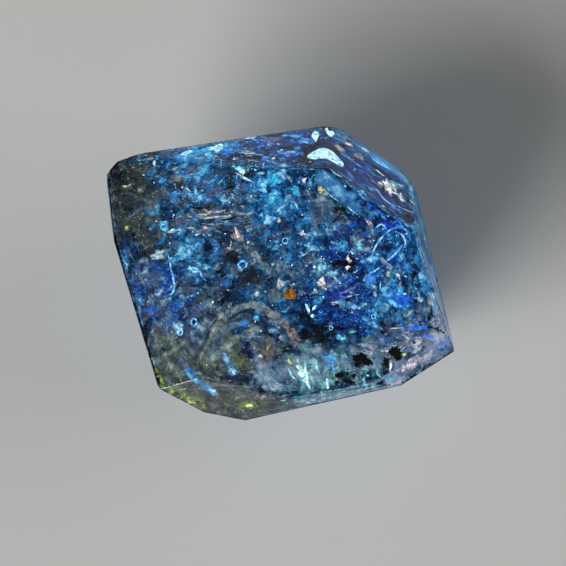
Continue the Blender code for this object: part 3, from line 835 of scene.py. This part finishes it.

# Near-black wisps, #020304 to #0a1018, are painted shade: dark slits and lines where clear quartz looks
# black.
# right and up of the middle; half length and bend in mm; degrees of turn; colour
LARGE_WISPS = (
    (-1.7, 4.1, 0.42, 0.06, -30, "#b8f4ff"),
    (-4.24, 3.64, 0.2, 0.04, -55, "#e8f8ff"),
    (-3.65, 2.78, 0.55, 0.07, 2, "#020304"),
    (-3.45, 2.52, 0.45, 0.09, 14, "#98a49c"),
    (-2.95, 2.62, 0.5, 0.06, 6, "#a8b0b8"),
    (-2.9, 2.42, 0.7, -0.05, 6, "#c0b4b8"),
    (-2.45, 2.3, 0.5, 0.08, 8, "#030406"),
    (-2.6, 1.75, 0.55, 0.09, -14, "#04060a"),
    (-3.1, 2.08, 0.6, 0.05, 2, "#8c98a4"),
    (-1.63, 5.26, 0.45, 0.03, -5, "#c8f4ff"),
    (2.49, 2.44, 0.55, 0.07, 56, "#020308"),
    (3.05, 2.7, 0.4, 0.02, -40, "#c8f4ff"),
    (2.2, 3.3, 0.6, 0.03, -40, "#7fd4f0"),
    (4.6, 3.9, 0.36, 0.1, -68, "#f4f4f8"),
    (4.82, 3.6, 0.36, 0.12, -72, "#ffffff"),
    (5.25, 3.25, 0.26, 0.1, -78, "#f0ece8"),
    (5.8, 3.05, 0.3, 0.06, -80, "#c8c4b8"),
    (4.9, 2.9, 0.8, 0.06, -38, "#4fb0e8"),
    (3.6, 3.6, 1.1, 0.05, -38, "#050a1c"),
    (3.1, 4.4, 0.9, 0.05, -40, "#060c20"),
    (-2.4, -4.78, 0.85, 0.14, -2, "#182844"),
    (0.72, -4.3, 0.5, 0.11, -64, "#c8fcff"),
    (1.05, -4.85, 0.36, 0.08, -78, "#ffffff"),
    (1.95, -5, 0.28, 0.07, -85, "#c8f4ff"),
    (0.35, -4.6, 0.4, 0.07, -60, "#8fd8e0"),
    (0.28, -4.05, 0.22, 0.08, -55, "#b0c080"),
    (1.5, -4.3, 0.42, 0.07, -75, "#9cd4e4"),
    (2.2, -4.25, 0.36, 0.1, -80, "#4f98d4"),
    (3.6, -4.95, 0.36, 0.09, -75, "#6fb0d0"),
    (4.2, -4.55, 0.3, 0.08, -70, "#88b8cc"),
    (2.38, 4.32, 0.36, 0.07, -42, "#9ff0ff"),
    (2.75, 4.22, 0.5, 0.05, -38, "#3f94e0"),
    (3.4, 4.05, 0.6, 0.05, -38, "#04060c"),
    (2.7, -0.6, 0.7, 0.1, 28, "#4468ac"),
    (2.9, -0.9, 0.55, 0.09, 25, "#6070a8"),
    (2.6, -1.25, 0.55, 0.09, 20, "#3c50a8"),
    (4.98, -2.56, 0.3, 0.02, 3, "#d8f0f8"),
    (2, -5.55, 1.2, 0.03, 10, "#060a10"),
    (3.6, -5.2, 0.9, 0.03, 11, "#0a1018"),
    (-4, 0, 0.34, 0.12, -30, "#7fe0f8"),
)
large_wisps = []
for number, (right, up, half, bend, turn, colour) in enumerate(LARGE_WISPS):
    place = seen_at(right, up, WISP_DEPTH - number * LAYER)
    large_wisps.append((lying(place, math.radians(turn), half, bend), linear(colour)))
piece_of_copies("large_oil_wisps_and_painted_shade", strip, large_wisps, oil_scale)

# --- Oil films ---
# Wide flat films of petroleum just under the faces, each with a crisp rim. The
# brightest is a half-moon near the top corner, and small pale flakes are strewn about.
FILM_THICKNESS = 0.02  # mm
FILM_CLEARANCE = 0.02  # mm


def films(name, depth, steps, material, *outlines):
    """Flat films with these outlines in the view, depth mm into the quartz.

    steps is how many pieces the curve from one corner to the next is drawn in; 1 leaves it straight.
    """
    bm = bmesh.new()
    for outline in outlines:
        corners = []
        for right, up in smooth_path(outline, closed=True, steps=steps):
            place = seen_at(right, up, depth)
            if is_inside(place, FILM_CLEARANCE * MM):
                corners.append(bm.verts.new(place))
        bm.faces.new(corners)
    bmesh.ops.triangulate(bm, faces=bm.faces[:])
    bmesh.ops.recalc_face_normals(bm, faces=bm.faces[:])
    bmesh.ops.solidify(bm, geom=bm.faces[:], thickness=FILM_THICKNESS * MM)
    bmesh.ops.recalc_face_normals(bm, faces=bm.faces[:])
    shaped_piece(name, bm, material)


# Thick, clean petroleum glows white-blue; in the flags it's a plain strong blue, and the flakes are pearly.
GLARE_STOPS = {0.38: "#1c78c0", 0.44: "#5cc4ec", 0.50: "#b4f0fc", 0.55: "#f6ffff"}
FLAG_STOPS = {0.38: "#0f3c88", 0.45: "#1c64c0", 0.51: "#388ce4", 0.58: "#6cb8f4", 0.66: "#c4ecff"}
PEARL_STOPS = {0.40: "#4c5058", 0.46: "#8c8a90", 0.51: "#cfcacc", 0.57: "#ffffff"}
LENS_STOPS = {0.36: "#0f4c9c", 0.44: "#1c74c8", 0.51: "#3c98d8", 0.58: "#78c8f0"}
moon_film = haze("bright_oil_film", GLARE_STOPS, 0.20, 0.07, 1.0, 1.35, scale_step=0.05, soft=False)
flag_film = haze("flag_oil_film", FLAG_STOPS, 0.30, 0.10, 1.0, 1.0, scale_step=0.05, soft=False)
pearl_film = haze("pearl_white_film", PEARL_STOPS, 0.20, 0.08, 1.0, 1.1, scale_step=0.10, soft=False)
lens_film = haze("rim_lens_film", LENS_STOPS, 0.6, 0.2, 1.0, 1.25, scale_step=0.05, soft=False)

# piece; depth in mm; steps of its curves; material; outlines in the view
FILMS = (
    ("half_moon_film", 0.5, 5, moon_film,
     ((1.07, 5.12), (1.41, 5.38), (1.79, 5.51), (2.18, 5.38), (2.5, 5.06), (2.71, 4.8), (2.63, 4.67),
      (2.24, 4.87), (1.99, 5), (1.67, 5.03), (1.34, 5))),
    ("top_corner_films", 0.3, 5, moon_film,
     ((1.28, 6.06), (1.38, 6.25), (1.54, 6.26), (1.63, 6.15), (1.57, 5.99), (1.48, 5.8), (1.38, 5.91)),
     ((1.89, 6.38), (1.99, 6.45), (2.06, 6.31), (2.24, 6.3), (2.31, 6.15), (2.18, 6.04), (2.02, 6.12))),
    ("bright_splinter_films", 0.15, 3, moon_film,
     ((-2, 4.61), (-1.74, 4.54), (-1.71, 4.35), (-1.93, 4.38)),
     ((0.98, -1.5), (1.09, -1.5), (1.2, -1.78), (1.14, -1.88)),
     ((1.34, -1.6), (1.5, -1.52), (1.44, -1.68), (1.3, -1.76)),
     ((1.22, -1.98), (1.34, -1.92), (1.4, -2.02), (1.28, -2.08)),
     ((0.64, -4.49), (0.93, -4.4), (0.96, -4.05), (1.05, -4.45), (1.12, -4.9), (1.21, -5.26), (0.98, -4.95),
      (0.8, -4.72)),
     ((1.93, -4.75), (2, -4.9), (2.02, -5.2), (1.94, -5.2))),
    ("edge_splash_films", 0.3, 2, moon_film,
     ((-4.6, 5.18), (-4.3, 5.36), (-4, 5.4), (-4.15, 5.28), (-4.3, 5.2)),
     ((-3.35, 5.42), (-3.1, 5.56), (-2.8, 5.7), (-2.7, 5.62), (-2.85, 5.36), (-3, 5.28), (-3.05, 5.4)),
     ((-1.75, 5.93), (-1.42, 6.03), (-1.2, 6.03), (-1.35, 5.92))),
    ("blue_flag_films", 0.5, 3, flag_film,
     ((3.63, -0.21), (4.17, -0.12), (4.43, -0.05), (4.04, -0.31), (3.92, -0.73), (3.72, -0.57)),
     ((5.55, -2.5), (6, -2.45), (6.3, -2.5), (6.1, -2.62), (5.7, -2.62))),
    ("flame_films", 0.12, 1, pearl_film,
     ((4.64, 4.19), (4.72, 3.95), (4.89, 3.79), (4.86, 3.41), (4.8, 3.32), (4.7, 3.6), (4.56, 3.6),
      (4.55, 3.95)),
     ((4.91, 3.95), (5.06, 3.71), (5.14, 3.41), (5.03, 3.48), (4.93, 3.71)),
     ((5.26, 3.52), (5.35, 3.25), (5.37, 3.06), (5.27, 3.14), (5.2, 3.33)),
     ((4.24, 3.98), (4.41, 4.01), (4.49, 3.87), (4.43, 3.75), (4.33, 3.87))),
    ("flake_films", 0.18, 1, pearl_film,
     ((1.49, -0.48), (1.79, -0.22), (1.89, -0.57), (1.94, -0.87), (1.7, -0.7), (1.55, -0.65)),
     ((2.8, 0.55), (2.9, 0.74), (2.97, 0.52), (3.08, 0.44), (2.95, 0.33), (2.9, 0.42)),
     ((2.76, 0.16), (2.88, 0.24), (3.01, 0.2), (2.92, 0.12), (2.86, 0.02)),
     ((4.71, -4.43), (4.77, -3.75), (4.85, -4.18), (4.79, -4.52)),
     ((-0.19, -0.31), (-0.06, -0.65), (-0.15, -0.83), (-0.26, -0.57)),
     ((-2.17, 2), (-2.05, 1.88), (-1.92, 1.52), (-2.05, 1.46), (-2.12, 1.74)),
     ((3.64, 2.33), (3.95, 2.18), (4.03, 1.99), (3.8, 2.06)),
     ((0.65, 1.66), (0.8, 1.72), (0.91, 1.83), (0.93, 1.7), (1.03, 1.64), (0.86, 1.57)),
     ((0.8, 4.21), (0.9, 4.12), (1.07, 4.16), (0.98, 4.02), (1.04, 3.88), (0.88, 3.97))),
    ("rim_lens_film", 0.25, 5, lens_film,
     ((3.92, 5.3), (4.2, 5.24), (4.64, 4.98), (5.1, 4.79), (5.49, 4.45), (5.7, 4.15), (5.55, 3.98),
      (5.1, 4.35), (4.65, 4.62), (4.25, 4.84), (4, 5.06))),
)
for values in FILMS:
    films(*values)

# Long soft-edged films: even azure oil, smoothest along the ridge.
azure_film = haze("azure_oil_film", SKY_STOPS, 0.60, 0.20, 0.90, 1.35, scale_step=0.06, gaps=0.30, rough=0.5)
RIDGE_STOPS = {0.34: "#1c4e7c", 0.45: "#2c6898", 0.54: "#4488b8", 0.64: "#78b8dc"}
ridge_film = haze("ridge_oil_film", RIDGE_STOPS, 1.0, 0.20, 0.85, 1.25, scale_step=0.04, gaps=0.28,
                  rough=0.45)

LONG_DEPTH = 0.15  # mm
LONG_DIVE = 0.1  # mm

# piece; path in the view; width in mm; material
LONG_FILMS = (
    ("ridge_film_wide", ((1.3, 4.35), (2, 3.95), (2.6, 3.5), (3.15, 2.95)), 1.05, ridge_film),
    ("ridge_film_narrow", ((2.8, 3.1), (3.4, 2.72), (4.1, 2.26)), 0.75, ridge_film),
    ("foot_film_long", ((-4.45, -4.15), (-3.95, -4.75), (-3.5, -5.1), (-2.8, -5.55)), 0.46, azure_film),
    ("foot_film_short", ((-2.62, -3.5), (-2.48, -3.95), (-2.05, -4.7)), 0.44, azure_film),
)
for name, path, width, material in LONG_FILMS:
    ribbon(name, path, width, LONG_DEPTH, LONG_DIVE, material, wander=0.3)

# --- Capillaries ---
# Hair-thin tubes that grew shut round oil as the quartz healed. They wind just
# under the faces, with loops and hooks, and glow blue or nearly white.
TUBE_WAVE = 0.12  # how far a tube rises and dips, mm
TUBE_END = 0.35  # radius at its ends, to that in its middle
TUBE_WAVES = 0.5  # radians of the wave from one point of a tube to the next

VEIN_STOPS = {0.38: "#1c50c0", 0.46: "#2f7ae0", 0.53: "#5cacf4", 0.60: "#b4e6ff"}
vein_oil = haze("capillary_oil", VEIN_STOPS, 0.5, 0.12, 1.0, 1.25, soft=False)
pale_vein_oil = haze("pale_capillary_oil", GLARE_STOPS, 0.5, 0.12, 1.0, 1.1, soft=False)


def veins(name, depth, radius, material, *paths):
    """Round tubes that show along these paths in the view, in one curve object."""
    curve = bpy.data.curves.new(name, "CURVE")
    curve.dimensions = "3D"
    curve.bevel_depth = radius * MM
    curve.bevel_resolution = 2
    curve.use_fill_caps = True
    for number, path in enumerate(paths):
        spots = []
        for step, (right, up) in enumerate(smooth_path(path)):
            place = seen_at(right, up, depth + TUBE_WAVE * math.sin(step * TUBE_WAVES + number))
            if is_inside(place):
                spots.append(place)
        if len(spots) < 2:
            continue
        spline = curve.splines.new("POLY")
        spline.points.add(len(spots) - 1)
        for step, (point, place) in enumerate(zip(spline.points, spots)):
            point.co = (*place, 1)
            middle = math.sin(math.pi * (step + 0.5) / len(spots)) ** 0.5
            point.radius = TUBE_END + (1 - TUBE_END) * middle
    make_piece(name, curve, material)


# piece; depth and radius in mm; material; paths in the view
CAPILLARIES = (
    ("looped_capillaries", 0.30, 0.038, vein_oil,
     ((3.98, 1.68), (4.17, 1.94), (4.37, 2.07), (4.56, 1.94), (4.43, 1.84)),
     ((4.1, 0.38), (4, 0.5), (4.01, 0.85), (4.3, 1.36), (4.75, 1.81), (5.2, 1.94), (5.55, 1.75),
      (5.68, 1.36)),
     ((5.33, 1.18), (5.1, 0.87), (4.85, 0.62), (4.6, 0.42)),
     ((4.3, 0.15), (4.05, -0.02), (3.85, -0.1)),
     ((5, 1.75), (5.3, 1.6), (5.45, 1.3), (5.4, 1.05))),
    ("long_capillaries", 0.35, 0.040, vein_oil,
     ((-5.12, 0.72), (-5.02, 0.3), (-4.96, -0.05), (-4.83, -0.69), (-4.96, -1.02), (-5.28, -1.14)),
     ((-4.25, 0.08), (-3.99, 0.14), (-3.73, 0.01), (-3.61, -0.24), (-3.41, -0.44))),
    ("white_threads", 0.35, 0.020, pale_vein_oil,
     ((-1.74, 5.28), (-1.29, 5.22), (-0.91, 5.19)),
     ((-2.13, 4.38), (-1.74, 4.19), (-1.36, 3.97)),
     ((4.17, 3.68), (4.56, 3.16), (5.07, 2.91), (5.84, 2.58)),
     ((1.75, 4.5), (2.2, 4.05), (2.5, 3.85)),
     ((4.81, -2.56), (5.33, -2.53)),
     ((-4.38, 3.71), (-4.15, 3.55)),
     ((-2, 4.36), (-2.1, 4.1)),
     ((1.95, -1.4), (2.4, -1.38), (2.9, -1.15), (3.4, -1.05))),
)
for values in CAPILLARIES:
    veins(*values)

# --- Gas bubbles ---
# Each oil drop of any size holds a bubble of gas: a bright ring of oil round a
# dark middle.
RIM_SHARE = 0.30  # thickness of the ring, to the bubble's radius
MIDDLE_SHARE = 0.9  # radius of the middle, to the bubble's
MIDDLE_FLATNESS = 0.3

BUBBLE_STOPS = {0.38: "#1858b0", 0.46: "#2f94e4", 0.53: "#74d4f8", 0.60: "#e8ffff"}
GAS_STOPS = {0.38: "#02060f", 0.46: "#041a44", 0.54: "#0a3684", 0.62: "#2a78d0"}
bubble_oil = haze("bubble_rim_oil", BUBBLE_STOPS, 0.12, 0.05, 1.0, 1.25, soft=False)
bubble_middle = haze("bubble_middle", GAS_STOPS, 0.2, 0.08, 1.0, 0.9, soft=False)

# right, up, depth and radius in mm; height to width
BUBBLES = (
    (-1.81, 0.27, 0.2, 0.17, 1),
    (-3.96, -2.28, 0.25, 0.12, 1.3),
    (2.13, -2.54, 0.25, 0.08, 1),
    (4.02, -2.03, 0.25, 0.09, 1),
    (-4.58, -2.72, 0.25, 0.11, 1.2),
    (-5.32, 1.95, 0.25, 0.12, 1),
    (0.1, 1.35, 0.9, 0.12, 1.1),
    (5.1, 1.55, 0.5, 0.06, 1),
)
ring_bm = bmesh.new()
middle_bm = bmesh.new()
facing_view = LOOK.to_track_quat("Z", "Y").to_matrix().to_4x4()
upright = Matrix.Rotation(math.pi / 2, 4, "X")
for right, up, depth, radius, stretch in BUBBLES:
    pose = Matrix.Translation(seen_at(right, up, depth)) @ facing_view @ Matrix.Diagonal((1, stretch, 1, 1))
    section = bmesh.ops.create_circle(ring_bm, segments=6, radius=radius * RIM_SHARE * MM,
                                      matrix=Matrix.Translation((radius * MM, 0, 0)) @ upright)["verts"]
    edges = list({edge for vert in section for edge in vert.link_edges})
    bmesh.ops.spin(ring_bm, geom=section + edges, cent=(0, 0, 0), axis=(0, 0, 1), angle=math.tau, steps=20,
                   use_merge=True)
    fresh = [vert for vert in ring_bm.verts if not vert.tag]
    bmesh.ops.transform(ring_bm, matrix=pose, verts=fresh)
    for vert in fresh:
        vert.tag = True
    ball = bmesh.ops.create_icosphere(middle_bm, subdivisions=2, radius=radius * MIDDLE_SHARE * MM)["verts"]
    bmesh.ops.transform(middle_bm, matrix=pose @ Matrix.Diagonal((1, 1, MIDDLE_FLATNESS, 1)), verts=ball)
bmesh.ops.recalc_face_normals(ring_bm, faces=ring_bm.faces[:])
shaped_piece("bubble_rims", ring_bm, bubble_oil)
shaped_piece("bubble_middles", middle_bm, bubble_middle)

# --- Bitumen ---
# Tar left in the quartz as the oil dried: rough black clots, and specks strewn
# round them and along one short chain.
TAR_COLOUR = "#050607"
TAR_GRAIN = 0.06  # mm
TAR_RELIEF = 0.02  # mm

# Dried tar: black and dull, with a weak sheen.
bitumen, bitumen_shader = new_material("bitumen", {
    "Base Color": linear(TAR_COLOUR),
    "Roughness": 0.45,
    "Specular IOR Level": 0.3,
})
bitumen_place = add_node(bitumen, "TexCoord").outputs["Object"]
tar_grain = add_node(bitumen, "TexNoise", {"Vector": bitumen_place, "Scale": per_mm(TAR_GRAIN),
                                           "Detail": 3.0})
tar_relief = add_node(bitumen, "Bump", {"Height": tar_grain, "Strength": 0.8, "Distance": TAR_RELIEF * MM})
link(tar_relief, bitumen_shader, "Normal")

# right, up, depth, half width and half height in mm; degrees of turn
CLOTS = (
    (3.4, -3.85, 0.3, 0.26, 0.13, 5),
    (3.75, -4.05, 0.3, 0.2, 0.12, -20),
    (3.3, -4.15, 0.3, 0.13, 0.08, 30),
    (4.98, -3.6, 0.3, 0.2, 0.22, 20),
    (5.12, -3.85, 0.3, 0.14, 0.1, 0),
    (4.56, -4.05, 0.3, 0.1, 0.17, 0),
    (2.5, -4.62, 0.3, 0.18, 0.09, 15),
    (2.9, -4.9, 0.3, 0.2, 0.08, -15),
    (3.14, -4.66, 0.3, 0.09, 0.07, 30),
    (2.4, -4.95, 0.3, 0.08, 0.06, 0),
    (0.89, -1.98, 0.42, 0.15, 0.09, 10),
    (-0.97, -5.33, 0.3, 0.12, 0.06, -30),
    (2.4, 0.35, 0.45, 0.16, 0.1, 20),
    (3, 0.28, 0.42, 0.24, 0.1, 10),
)
CLOT_FLATNESS = 0.6  # half depth of a clot, to its half height
CLOT_BUMPS = 2.2  # bumps to its radius
CLOT_RELIEF = 0.9  # their height, to its radius
CLOT_LEAST = 0.3  # least distance of its surface from its middle, to the same
clot_bm = bmesh.new()
for right, up, depth, wide, high, turn in CLOTS:
    lump = bmesh.ops.create_icosphere(clot_bm, subdivisions=4, radius=1)["verts"]
    for vert in lump:
        rough = noise.fractal(vert.co * CLOT_BUMPS + Vector((right, up, 0)) * 9, 0.5, 2.2, 5)
        vert.co *= max(CLOT_LEAST, 0.95 + CLOT_RELIEF * rough)
    pose = (Matrix.Translation(seen_at(right, up, depth)) @ Matrix.Rotation(math.radians(turn), 4, "Z")
            @ Matrix.Diagonal((wide * MM, high * MM, high * MM * CLOT_FLATNESS, 1)))
    bmesh.ops.transform(clot_bm, matrix=pose, verts=lump)
shaped_piece("bitumen_clots", clot_bm, bitumen)

# right, up, depth and reach in mm; how many; usual radius in mm
SPECKS = (
    (1.9, -2.85, 0.32, 0.62, 160, 0.035),
    (2.5, -4.5, 0.32, 0.5, 90, 0.03),
    (3.2, -4.6, 0.3, 0.5, 50, 0.03),
    (4.9, -3.8, 0.3, 0.5, 40, 0.025),
    (0.9, -1.9, 0.35, 0.5, 40, 0.03),
    (2.8, 0.2, 0.38, 0.9, 90, 0.035),
    (3.4, -3.9, 0.3, 0.6, 60, 0.03),
    (0.5, 0.9, 0.4, 1.6, 60, 0.03),
    (1.2, -1.2, 0.4, 1.2, 60, 0.035),
)
# right, up in mm
CHAIN = ((6.07, -2.27), (6.12, -2.4), (6.42, -2.49), (6.5, -2.52), (6.6, -2.5), (6.74, -2.56), (6.84, -2.58),
         (6.9, -2.66), (7.02, -2.66), (7.13, -2.74), (5.78, -3.14), (5.84, -3.2))
CHAIN_DEPTH = 0.15  # mm
CHAIN_SIZES = (0.05, 0.08)  # least and greatest radius, mm
tar = linear(TAR_COLOUR)
chance = random.Random(77)
specks = []
for right, up, depth, reach, count, size in SPECKS:
    for _ in range(count):
        place = seen_at(right + chance.gauss(0, 0.5) * reach, up + chance.gauss(0, 0.5) * reach * 0.7,
                        depth + chance.uniform(-0.1, 0.2))
        radius = size * MM * math.exp(chance.gauss(0, 0.45))
        lie = Euler([chance.uniform(*ANY_TURN) for _ in range(3)]).to_matrix().to_4x4()
        if is_inside(place):
            shape = Matrix.Diagonal((radius, radius * 0.7, radius * 0.5, 1))
            specks.append((Matrix.Translation(place) @ lie @ shape, tar))
for right, up in CHAIN:
    radius = chance.uniform(*CHAIN_SIZES) * MM
    shape = Matrix.Diagonal((radius, radius * 0.8, radius * 0.6, 1))
    specks.append((Matrix.Translation(seen_at(right, up, CHAIN_DEPTH)) @ shape, tar))
piece_of_copies("bitumen_specks", blob, specks, bitumen)

# --- Stained grain ---
# One small grain of another mineral that the quartz grew round. Iron has
# stained it rusty orange.
GRAIN_PLACE = (0.34, -1.05, 0.35)  # right, up and depth, mm
GRAIN_SIZE = (0.30, 0.22, 0.15)  # half sizes, mm
GRAIN_RELIEF = 0.4  # height of its bumps, to its radius

# Iron-stained mineral: orange with brown hollows, and no shine.
RUST_STOPS = {0.34: "#4c2808", 0.45: "#8c5210", 0.54: "#b87420", 0.64: "#dca048"}
rust = haze("iron_stained_grain", RUST_STOPS, 0.35, 0.08, 1.0, 0.75, lean=0.3, scale_step=0.06, soft=False)

grain_bm = bmesh.new()
bmesh.ops.create_icosphere(grain_bm, subdivisions=4, radius=1)
for vert in grain_bm.verts:
    vert.co *= 0.9 + GRAIN_RELIEF * noise.fractal(vert.co * 1.5, 0.6, 2.2, 4)
grain_shape = Matrix.Diagonal((*(half * MM for half in GRAIN_SIZE), 1))
bmesh.ops.transform(grain_bm, matrix=Matrix.Translation(seen_at(*GRAIN_PLACE)) @ grain_shape,
                    verts=grain_bm.verts[:])
shaped_piece("iron_stained_grain", grain_bm, rust)

# --- Growth figure ---
# The outline of the crystal at an earlier age, where dust had settled on its
# faces before it grew on. The oil in the rim beside it is yellow-green.

# Dust in quartz: pale grey, warm grey and faint blue-grey hazes.
PHANTOM_STOPS = {0.36: "#38484c", 0.44: "#587072", 0.51: "#86989a", 0.58: "#acbab4", 0.68: "#e4eee4"}
BLUSH_STOPS = {0.36: "#504c4a", 0.44: "#706a66", 0.50: "#948c86", 0.56: "#b8b0a8", 0.64: "#ece4dc"}
phantom = haze("growth_figure_dust", PHANTOM_STOPS, 0.45, 0.12, 0.50, 1.0, scale_step=0.16, gaps=0.36)
blush = haze("growth_figure_warm_dust", BLUSH_STOPS, 0.5, 0.14, 0.48, 1.0, scale_step=0.16, gaps=0.38)
veil = haze("growth_figure_veil", SLATE_STOPS, 0.8, 0.3, 0.55, 1.0, lean=0.3, scale_step=0.02, gaps=0.32,
            rough=0.4)

# line; path in the view; width, depth and dive in mm; material
GROWTH_LINES = (
    ("left", ((-4.05, -4.5), (-3.5, -3.5), (-3.2, -2.88), (-3, -2.42), (-2.75, -2.05), (-2.5, -1.8)), 0.28,
     0.15, 0.05, phantom),
    ("top", ((-3.2, -2.2), (-2.27, -1.84), (-1.81, -1.58), (-1.35, -1.48), (-0.73, -1.74), (0, -2.3)),
     0.5, 0.15, 0.1, phantom),
    ("right", ((-1.3, -1.6), (-0.5, -1.9), (0.1, -2.4), (0.5, -2.9), (0.7, -3.6)), 0.7, 0.2, 0.15, blush),
    ("middle", ((-3.8, -4.5), (-2.58, -3.42), (-1.97, -2.96), (-1.5, -2.73), (-0.8, -2.5)), 0.5, 0.2, 0.1,
     phantom),
    ("foot", ((-3.39, -5.04), (-2.27, -5.09), (-1.2, -5.2)), 0.12, 0.15, 0.1, phantom),
    ("left_face", ((-4.3, -3.9), (-3.7, -3.1), (-3.3, -2.2), (-2.7, -1.7)), 0.8, 0.3, 0.3, veil),
    ("inner_face", ((-3.4, -4.1), (-2.8, -3), (-2, -2.3), (-1.2, -2)), 0.8, 0.35, 0.3, veil),
    ("crack", ((-2.1, 1.7), (-1.7, 1.15), (-1.32, 0.8), (-0.9, 0.35), (-0.4, -0.27)), 0.42, 0.2, 0.3,
     phantom),
)
for part, *values in GROWTH_LINES:
    ribbon(f"growth_line_{part}", *values, wander=0.15)

# Old petroleum that glows yellow-green, in clots with dark gaps.
GREEN_STOPS = {0.38: "#1e2618", 0.46: "#3a4626", 0.52: "#5c6c34", 0.58: "#8ca04c", 0.66: "#e4f090"}
green_oil = haze("yellow_green_oil", GREEN_STOPS, 0.35, 0.09, 0.85, 1.4, gaps=0.38)
RIM_PATH = ((-5.95, -3.7), (-5.6, -5), (-4.9, -5.45), (-4, -5.85), (-3.2, -6.15))
ribbon("rim_oil_left", RIM_PATH, 0.9, 0.15, 0.2, green_oil)
oval_sheet("rim_oil_bright", -1.7, -5.9, 0.4, 1.1, 0.55, 0, green_oil, steps=(24, 16))
oval_sheet("corner_oil_spot", -6.92, 1.91, 0.4, 0.32, 0.20, 0, green_oil, steps=(16, 12))
oval_sheet("corner_oil_grains", -6.5, 4.5, 0.4, 0.7, 0.36, 10, olive_haze, steps=(16, 12))

# --- Floor and light ---
# The crystal lies on a wide sheet of pale matt card, in the soft light of one
# large lamp from the front left and a weak one from the right.
FLOOR_REACH = 1.5  # m
FLOOR_GAP = 0.02 * MM  # keeps the card clear of the face that rests on it
SKY_COLOUR = (0.92, 0.96, 1, 1)
SKY_STRENGTH = 0.10
AIM = Vector((0, 0, 5 * MM))
FILM_LAYERS = 48  # how many see-through films one ray may pass

# Matt card: an even pale grey with no shine.
card, _ = new_material("matt_card", {"Base Color": linear("#dcdcd8"), "Roughness": 0.9})
floor_bm = bmesh.new()
bmesh.ops.create_grid(floor_bm, x_segments=1, y_segments=1, size=FLOOR_REACH)
bmesh.ops.translate(floor_bm, vec=(0, 0, -FLOOR_GAP), verts=floor_bm.verts[:])
floor_mesh = bpy.data.meshes.new("floor")
floor_bm.to_mesh(floor_mesh)
floor_bm.free()
floor_mesh.materials.append(card)
floor = bpy.data.objects.new("floor", floor_mesh)
bpy.context.scene.collection.objects.link(floor)

world = bpy.data.worlds.new("studio")
world.use_nodes = True
world.node_tree.nodes["Background"].inputs["Color"].default_value = SKY_COLOUR
world.node_tree.nodes["Background"].inputs["Strength"].default_value = SKY_STRENGTH
bpy.context.scene.world = world

# lamp; place and width in m; power in W
LAMPS = (
    ("key", (-0.75, -0.75, 0.38), 0.85, 20),
    ("fill", (0.90, 0.10, 0.45), 0.70, 2.2),
)
for name, place, width, power in LAMPS:
    light = bpy.data.lights.new(name, "AREA")
    light.size = width
    light.energy = power
    lamp = bpy.data.objects.new(name, light)
    lamp.location = place
    lamp.rotation_euler = (AIM - Vector(place)).to_track_quat("-Z", "Y").to_euler()
    bpy.context.scene.collection.objects.link(lamp)
bpy.context.scene.view_settings.view_transform = "Standard"
bpy.context.scene.cycles.transparent_max_bounces = FILM_LAYERS
